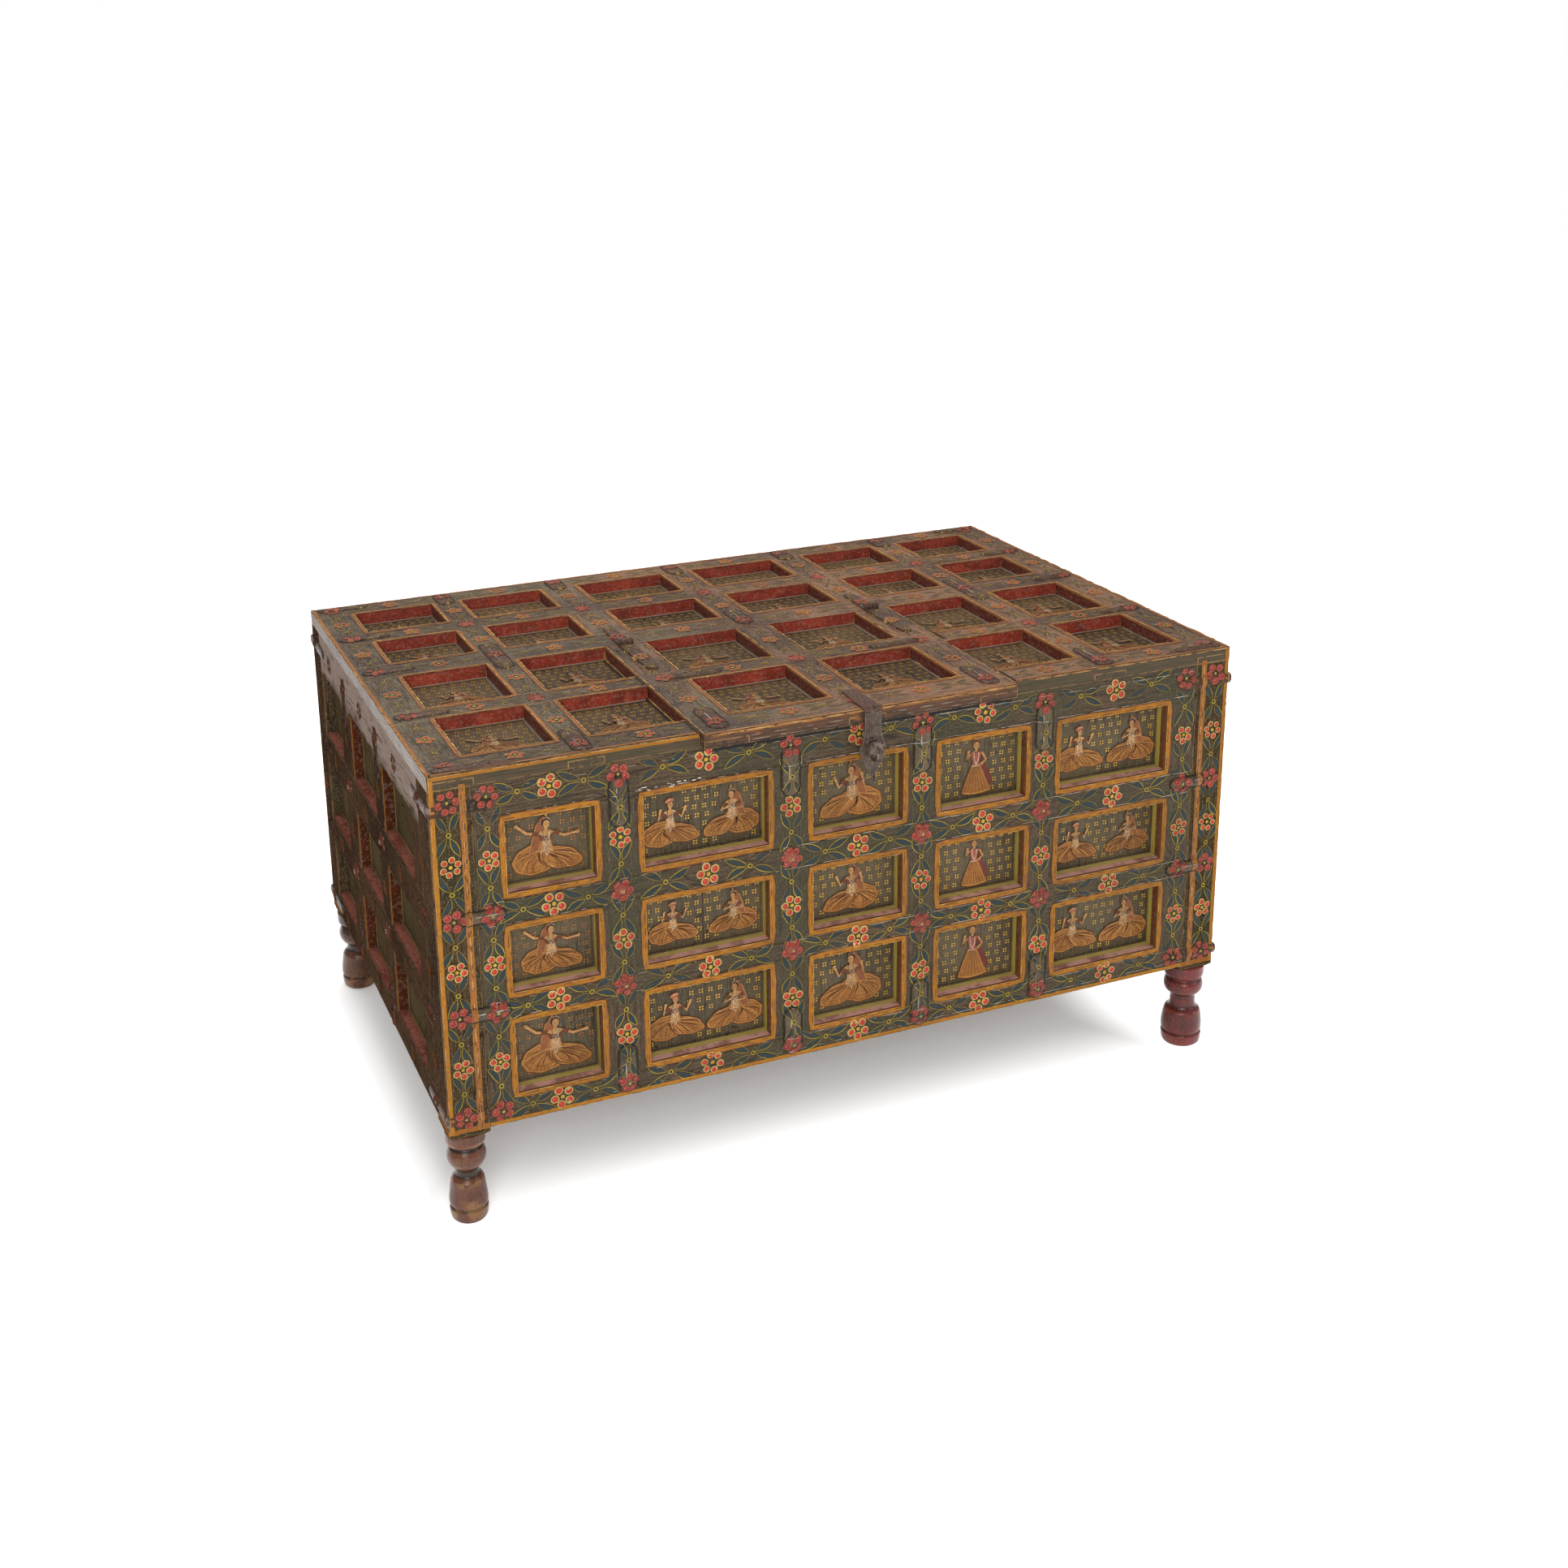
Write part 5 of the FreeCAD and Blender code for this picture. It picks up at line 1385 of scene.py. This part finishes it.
def paint_front_wear(front, columns, rows, rail_spans):
    """A dark line painted as the shadow under the lid, painted glints along a bead over one opening, and a
    worn band near each end.
    """
    bottom_z = rail_spans[0][0]
    # Painted shadow: a dark line under the lid's front edge
    under_lid = lid_z - lid_shadow / 2 - 0.8 * mm
    front.rule((lid_x[0] + 2 * mm, under_lid), (lid_x[1] - 2 * mm, under_lid), lid_shadow, "gap", overlay_level)
    # Painted glints: near-white strokes along the bead above one opening
    glint_span = (columns[1][0] - 6 * mm, columns[1][1] * 0.35 + columns[1][0] * 0.65)
    for lift in (-1.2 * mm, 0.4 * mm, 2.0 * mm, 3.4 * mm):
        v = rows[-1][1] + bead_inset + lift
        front.rub((glint_span[0], v), (glint_span[1] + lift * 12, v), "glint_white", 0.14, 1.2 * mm, 16)
    for share in (worn_band_share, 1 - worn_band_share):
        u, head_z = left_x + length * share, top_z - 14 * mm
        front.rule((u, bottom_z), (u, head_z), worn_band_width * 0.85, "ochre_worn", 6, 3 * mm)
        for aside, shade, cover in ((-0.36, "top_rim", 0.6), (-0.12, "jamb", 0.2), (0.0, "wear", 0.35),
                                    (0.15, "olive_brown", 0.15), (0.38, "ochre", 0.6)):
            place = u + aside * worn_band_width
            front.rub((place, bottom_z), (place, head_z), shade, cover, 1.7 * mm, 8)


# Painting the top
class Top:
    """The fixed top and the lid, painted as one pattern that the lid's gap divides."""

    def __init__(self):
        fixed = surface_of(nodes_named(*fixed_rails, *right_fixed_rails, "top_stiles", "top_boards",
                                       "top_bosses", *body_leaves) + [straps["top"]])
        moving = surface_of(nodes_named(*lid_rails, *lid_stiles, "lid_boards", "lid_boss", *lid_leaves)
                            + [straps["lid"]])
        self.fixed = Canvas("top_painting", "chest", X, Y, fixed, "top", top_fade, "muted_rim")
        self.flap = Canvas("lid_painting", "lid", X, Y, moving, "top", top_fade, "muted_rim")
        self.stile_spans = merged(intervals(["top_stiles"], 0))
        self.rail_spans = merged(intervals(fixed_rails, 1))
        self.columns, self.rows = gaps_between(self.stile_spans), gaps_between(self.rail_spans)

    def at(self, u, v):
        return self.flap if lid_x[0] < u < lid_x[1] and v < hinge_line else self.fixed

    def fade(self, share):
        self.fixed.fade = self.flap.fade = share

    def paint_fields(self):
        """Borders round the openings, and marks with one faded figure in each."""
        for opening_u in self.columns:
            for opening_v in self.rows:
                canvas = self.at(middle(opening_u), middle(opening_v))
                opening = (opening_u, opening_v)
                canvas.fade = border_fade
                canvas.border(opening, thin_border_width, "top_rim")
                canvas.rub_round(opening, 1.0 * mm, cover=0.7, width=1.9 * mm)
                canvas.rub_round(opening, 0.8 * mm, colour="cream", cover=0.25, width=1.5 * mm, level=15)
                canvas.enter(opening)
                canvas.ground, canvas.fade = "top_field_dark", top_motif_fade
                motifs(canvas, opening, [])
                canvas.fade = top_figure_fade
                kind = dice.choice(("spread", "lean"))
                people(canvas, opening, kind, (opening_v[1] - opening_v[0]) * top_figure_share)
                canvas.line(corners_of(opening, 2 * mm), 2.6 * mm, "dust", ground_level, closed=True)
                canvas.leave()
                canvas.ground, canvas.fade = "top", top_fade

    def paint_flowers(self):
        """Flowers at the middles and crossings of the battens, with fainter sprigs between them."""
        across = sorted(middles(self.columns) + middles(self.stile_spans))
        along = sorted(middles(self.rows) + middles(self.rail_spans))
        for v in middles(self.rail_spans):
            for u in middles(self.columns):
                self.at(u, v).rosette(u, v, small_rosette)
            for u in middles(self.stile_spans):
                self.at(u, v).rosette(u, v, small_rosette, plain=True)
            self.fade(top_sprig_fade)
            for a, b in zip(across, across[1:]):
                u = (a + b) / 2
                self.at(u, v).sprig(u, v, flat_sprig, leaf_length * 0.7, leaf_width * 0.8)
            self.fade(top_fade)
        for u in middles(self.stile_spans):
            for v in middles(self.rows):
                self.at(u, v).rosette(u, v, small_rosette)
            self.fade(top_sprig_fade)
            for a, b in zip(along, along[1:]):
                v = (a + b) / 2
                self.at(u, v).sprig(u, v, steep_sprig, leaf_length * 0.6, leaf_width * 0.7)
            self.fade(top_fade)

    def paint_edges(self):
        """Lines and worn wood along the top's edges and the lid's, dark slits beside it painted as shade, and
        a painted shadow and highlight on its straps.
        """
        fixed, flap = self.fixed, self.flap
        self.fade(border_fade)
        for inner, outer in ((left_x + 16 * mm, left_x + 120 * mm), (right_x - 16 * mm, right_x - 95 * mm)):
            fixed.rule((inner, front_y + 9 * mm), (outer, front_y + 8 * mm), 13 * mm, "strap_top", 6,
                       taper=True)
        front_line, back_line = front_y + edge_inset, back_y - edge_inset
        lid_line = lid_front_y + edge_inset
        for canvas, a, b in (
                (fixed, (left_x + edge_inset, front_line), (lid_x[0] - 3 * mm, front_line)),
                (fixed, (lid_x[1] + 3 * mm, front_line), (right_x - edge_inset, front_line)),
                (flap, (lid_x[0] + 2 * mm, lid_line), (lid_x[1] - 2 * mm, lid_line)),
                (fixed, (left_x + edge_inset, front_y), (left_x + edge_inset, back_y)),
                (fixed, (right_x - edge_inset, front_y), (right_x - edge_inset, back_y)),
                (fixed, (left_x, back_line), (right_x, back_line))):
            canvas.rule(a, b, edge_line_width, "ochre_worn")
        rim = 1.2 * mm
        whole_top = ((left_x, right_x), (front_y, back_y))
        front_left, front_right, back_right, back_left = corners_of(whole_top, rim)
        for a, b in ((front_left, back_left), (back_left, back_right), (back_right, front_right)):
            fixed.rub(a, b, cover=0.7, width=2.2 * mm)
        fixed.rub(front_left, (lid_x[0] - 3 * mm, front_left[1]), cover=0.8, width=2.4 * mm)
        fixed.rub((lid_x[1] + 3 * mm, front_left[1]), front_right, cover=0.8, width=2.4 * mm)
        flap.rub((lid_x[0] + 2 * mm, lid_front_y + rim), (lid_x[1] - 2 * mm, lid_front_y + rim), cover=0.85,
                 width=2.4 * mm)
        for u in (lid_x[0] + rim, lid_x[1] - rim):
            flap.rub((u, lid_front_y + 2 * mm), (u, hinge_line - 4 * mm), cover=0.6, width=1.8 * mm)
        # Painted shade: dark lines in the slits beside the lid
        for u in (lid_x[0] - 3.8 * mm, lid_x[1] + 3.8 * mm):
            fixed.rule((u, front_y + 2 * mm), (u, hinge_line - 4 * mm), lid_slit, "gap", overlay_level)
        # Painted shadow lines round the straps and painted highlights on their crests
        for canvas, node in ((fixed, "top_straps"), (flap, "lid_straps")):
            for box in loose_boxes(node):
                canvas.outline(box[0], box[1])


def paint_lid_edge():
    """Layers of worn paint along the lid's front edge, each below the last."""
    surface = surface_of(nodes_named("lid_rail_front"))
    edge = Canvas("lid_edge_painting", "lid", X, Z, surface, "top", border_fade)
    # Drop below the top and width of each layer are in millimetres
    for drop, shade, cover, width in (
            (1.5, "wear", 0.85, 2.0), (3.2, "ochre_worn", 0.8, 2.2), (5.6, "edge_wood", 0.7, 1.6),
            (9.0, "dust", 0.35, 0.8), (11.5, "hair", 0.5, 1.0), (14.5, "dust", 0.5, 0.8)):
        height = top_z - drop * mm
        edge.rub((lid_x[0] + 1 * mm, height), (lid_x[1] - 1 * mm, height), shade, cover, width * mm, 3)
    edge.finish(painting)


# Painting the sides
def paint_side(end, across):
    """Faint flowers and marks over one side."""
    rails, stiles = f"{end}_rails", f"{end}_stiles"
    surface = surface_of(nodes_named(rails, stiles, "front_posts", "back_posts", f"{end}_boards",
                                     f"{end}_bosses") + [straps[end], corner_bands])
    sheet = Canvas(f"{end}_painting", "chest", across, Z, surface, "side", side_fade, "muted_rim")
    turn = 1 if across.y > 0 else -1
    taken = merged(intervals([stiles], 1) + [(front_y, front_y + post_depth), (back_y - post_depth, back_y)])
    spans = sorted(tuple(sorted((turn * a, turn * b))) for a, b in taken)
    columns, rail_spans = gaps_between(spans), intervals([rails], 2)
    rows = gaps_between(rail_spans)
    for opening_u in columns:
        for opening_v in rows:
            opening = (opening_u, opening_v)
            sheet.rub_round(opening, 0.9 * mm, colour="edge_wood", cover=0.6, width=1.8 * mm)
            sheet.enter(opening)
            sheet.fade = side_motif_fade
            motifs(sheet, opening, [])
            sheet.fade = side_fade
            sheet.leave()
    for v in middles(rail_spans):
        for u in middles(columns):
            sheet.rosette(u, v, small_rosette)
        for u in middles(spans):
            sheet.rosette(u, v, small_rosette, plain=True)
    for u in middles(spans):
        for v in middles(rows):
            sheet.rosette(u, v, small_rosette)
    sheet.finish(dull_painting)


paint_front()
top = Top()
top.paint_fields()
top.paint_flowers()
top.paint_edges()
paint_lid_edge()
top.fixed.finish(painting)
top.flap.finish(painting)
paint_side("left", -Y)
paint_side("right", Y)


# Stage, camera and light
def stage_floor(half=8.0, middle_x=-60 * mm, middle_y=200 * mm):
    """A pale floor that glows white away from the chest; near the chest its glow is lower, which paints a
    shadow there over its real one.
    """
    mesh = bpy.data.meshes.new("studio_floor")
    corners = [(-half, -half, 0), (half, -half, 0), (half, half, 0), (-half, half, 0)]
    mesh.from_pydata(corners, [], [(0, 1, 2, 3)])
    made = bpy.data.objects.new("studio_floor", mesh)
    bpy.context.scene.collection.objects.link(made)
    box = Paintbox("studio_floor")
    box.shader.inputs["Base Color"].default_value = (0.94, 0.94, 0.94, 1)
    box.shader.inputs["Roughness"].default_value = 0.9
    box.shader.inputs["Specular IOR Level"].default_value = 0.0
    box.shader.inputs["Emission Color"].default_value = (1, 1, 1, 1)
    rays = box.node("ShaderNodeLightPath")
    seen = box.math("MAXIMUM", rays.outputs["Is Camera Ray"], rays.outputs["Is Glossy Ray"])
    aside = box.math("ABSOLUTE", box.math("SUBTRACT", box.place[0], middle_x))
    behind = box.math("ABSOLUTE", box.math("SUBTRACT", box.place[1], middle_y))
    # Painted shadow: the glow falls off within these distances of a point set behind the chest
    shadow_x, clear_x = 460 * mm, 600 * mm
    shadow_y, clear_y = 390 * mm, 620 * mm
    away = box.math("MAXIMUM", box.step(aside, shadow_x, clear_x), box.step(behind, shadow_y, clear_y))
    glow = box.plus(0.14, box.times(away, 0.9))
    box.feed(box.shader.inputs["Emission Strength"], box.times(seen, glow))
    mesh.materials.append(box.material)


def white_world():
    """An even light all round, seen as white behind the chest."""
    world = bpy.data.worlds.new("studio")
    bpy.context.scene.world = world
    world.use_nodes = True
    nodes, links = world.node_tree.nodes, world.node_tree.links
    rays = nodes.new("ShaderNodeLightPath")
    plain, white = nodes["Background"], nodes.new("ShaderNodeBackground")
    for background, strength in ((plain, 0.42), (white, 1.0)):
        background.inputs["Color"].default_value = (1, 1, 1, 1)
        background.inputs["Strength"].default_value = strength
    either = nodes.new("ShaderNodeMath")
    either.operation = "MAXIMUM"
    mixed = nodes.new("ShaderNodeMixShader")
    links.new(rays.outputs["Is Camera Ray"], either.inputs[0])
    links.new(rays.outputs["Is Transmission Ray"], either.inputs[1])
    links.new(either.outputs[0], mixed.inputs["Fac"])
    links.new(plain.outputs[0], mixed.inputs[1])
    links.new(white.outputs[0], mixed.inputs[2])
    links.new(mixed.outputs[0], nodes["World Output"].inputs["Surface"])


def softbox(name, place, size, power, target=(0, 0, 0.35)):
    data = bpy.data.lights.new(name, "AREA")
    data.shape = "RECTANGLE"
    data.size, data.size_y = size
    data.energy = power
    made = bpy.data.objects.new(name, data)
    made.location = place
    made.rotation_euler = (Vector(target) - Vector(place)).to_track_quat("-Z", "Y").to_euler()
    bpy.context.scene.collection.objects.link(made)


def camera(place, turn_degrees, lens, shift):
    data = bpy.data.cameras.new("camera")
    data.sensor_width = 36.0
    data.lens = lens
    data.shift_x, data.shift_y = shift
    made = bpy.data.objects.new("camera", data)
    made.location = place
    made.rotation_euler = tuple(math.radians(a) for a in turn_degrees)
    bpy.context.scene.collection.objects.link(made)
    return made


stage_floor()
white_world()
softbox("overhead", (-0.3, 0.9, 3.2), (2.2, 2.0), 58)
softbox("front_left", (-1.5, -3.4, 1.9), (1.8, 1.6), 74)
softbox("front_right", (2.8, -2.2, 1.6), (1.6, 1.6), 18)
bpy.context.scene.camera = camera(place=(-0.98835, -2.32584, 1.42140),
                                  turn_degrees=(73.8472, 1.0825, -21.9961), lens=43.75,
                                  shift=(0.0464, -0.1381))
bpy.context.scene.view_settings.view_transform = "Standard"
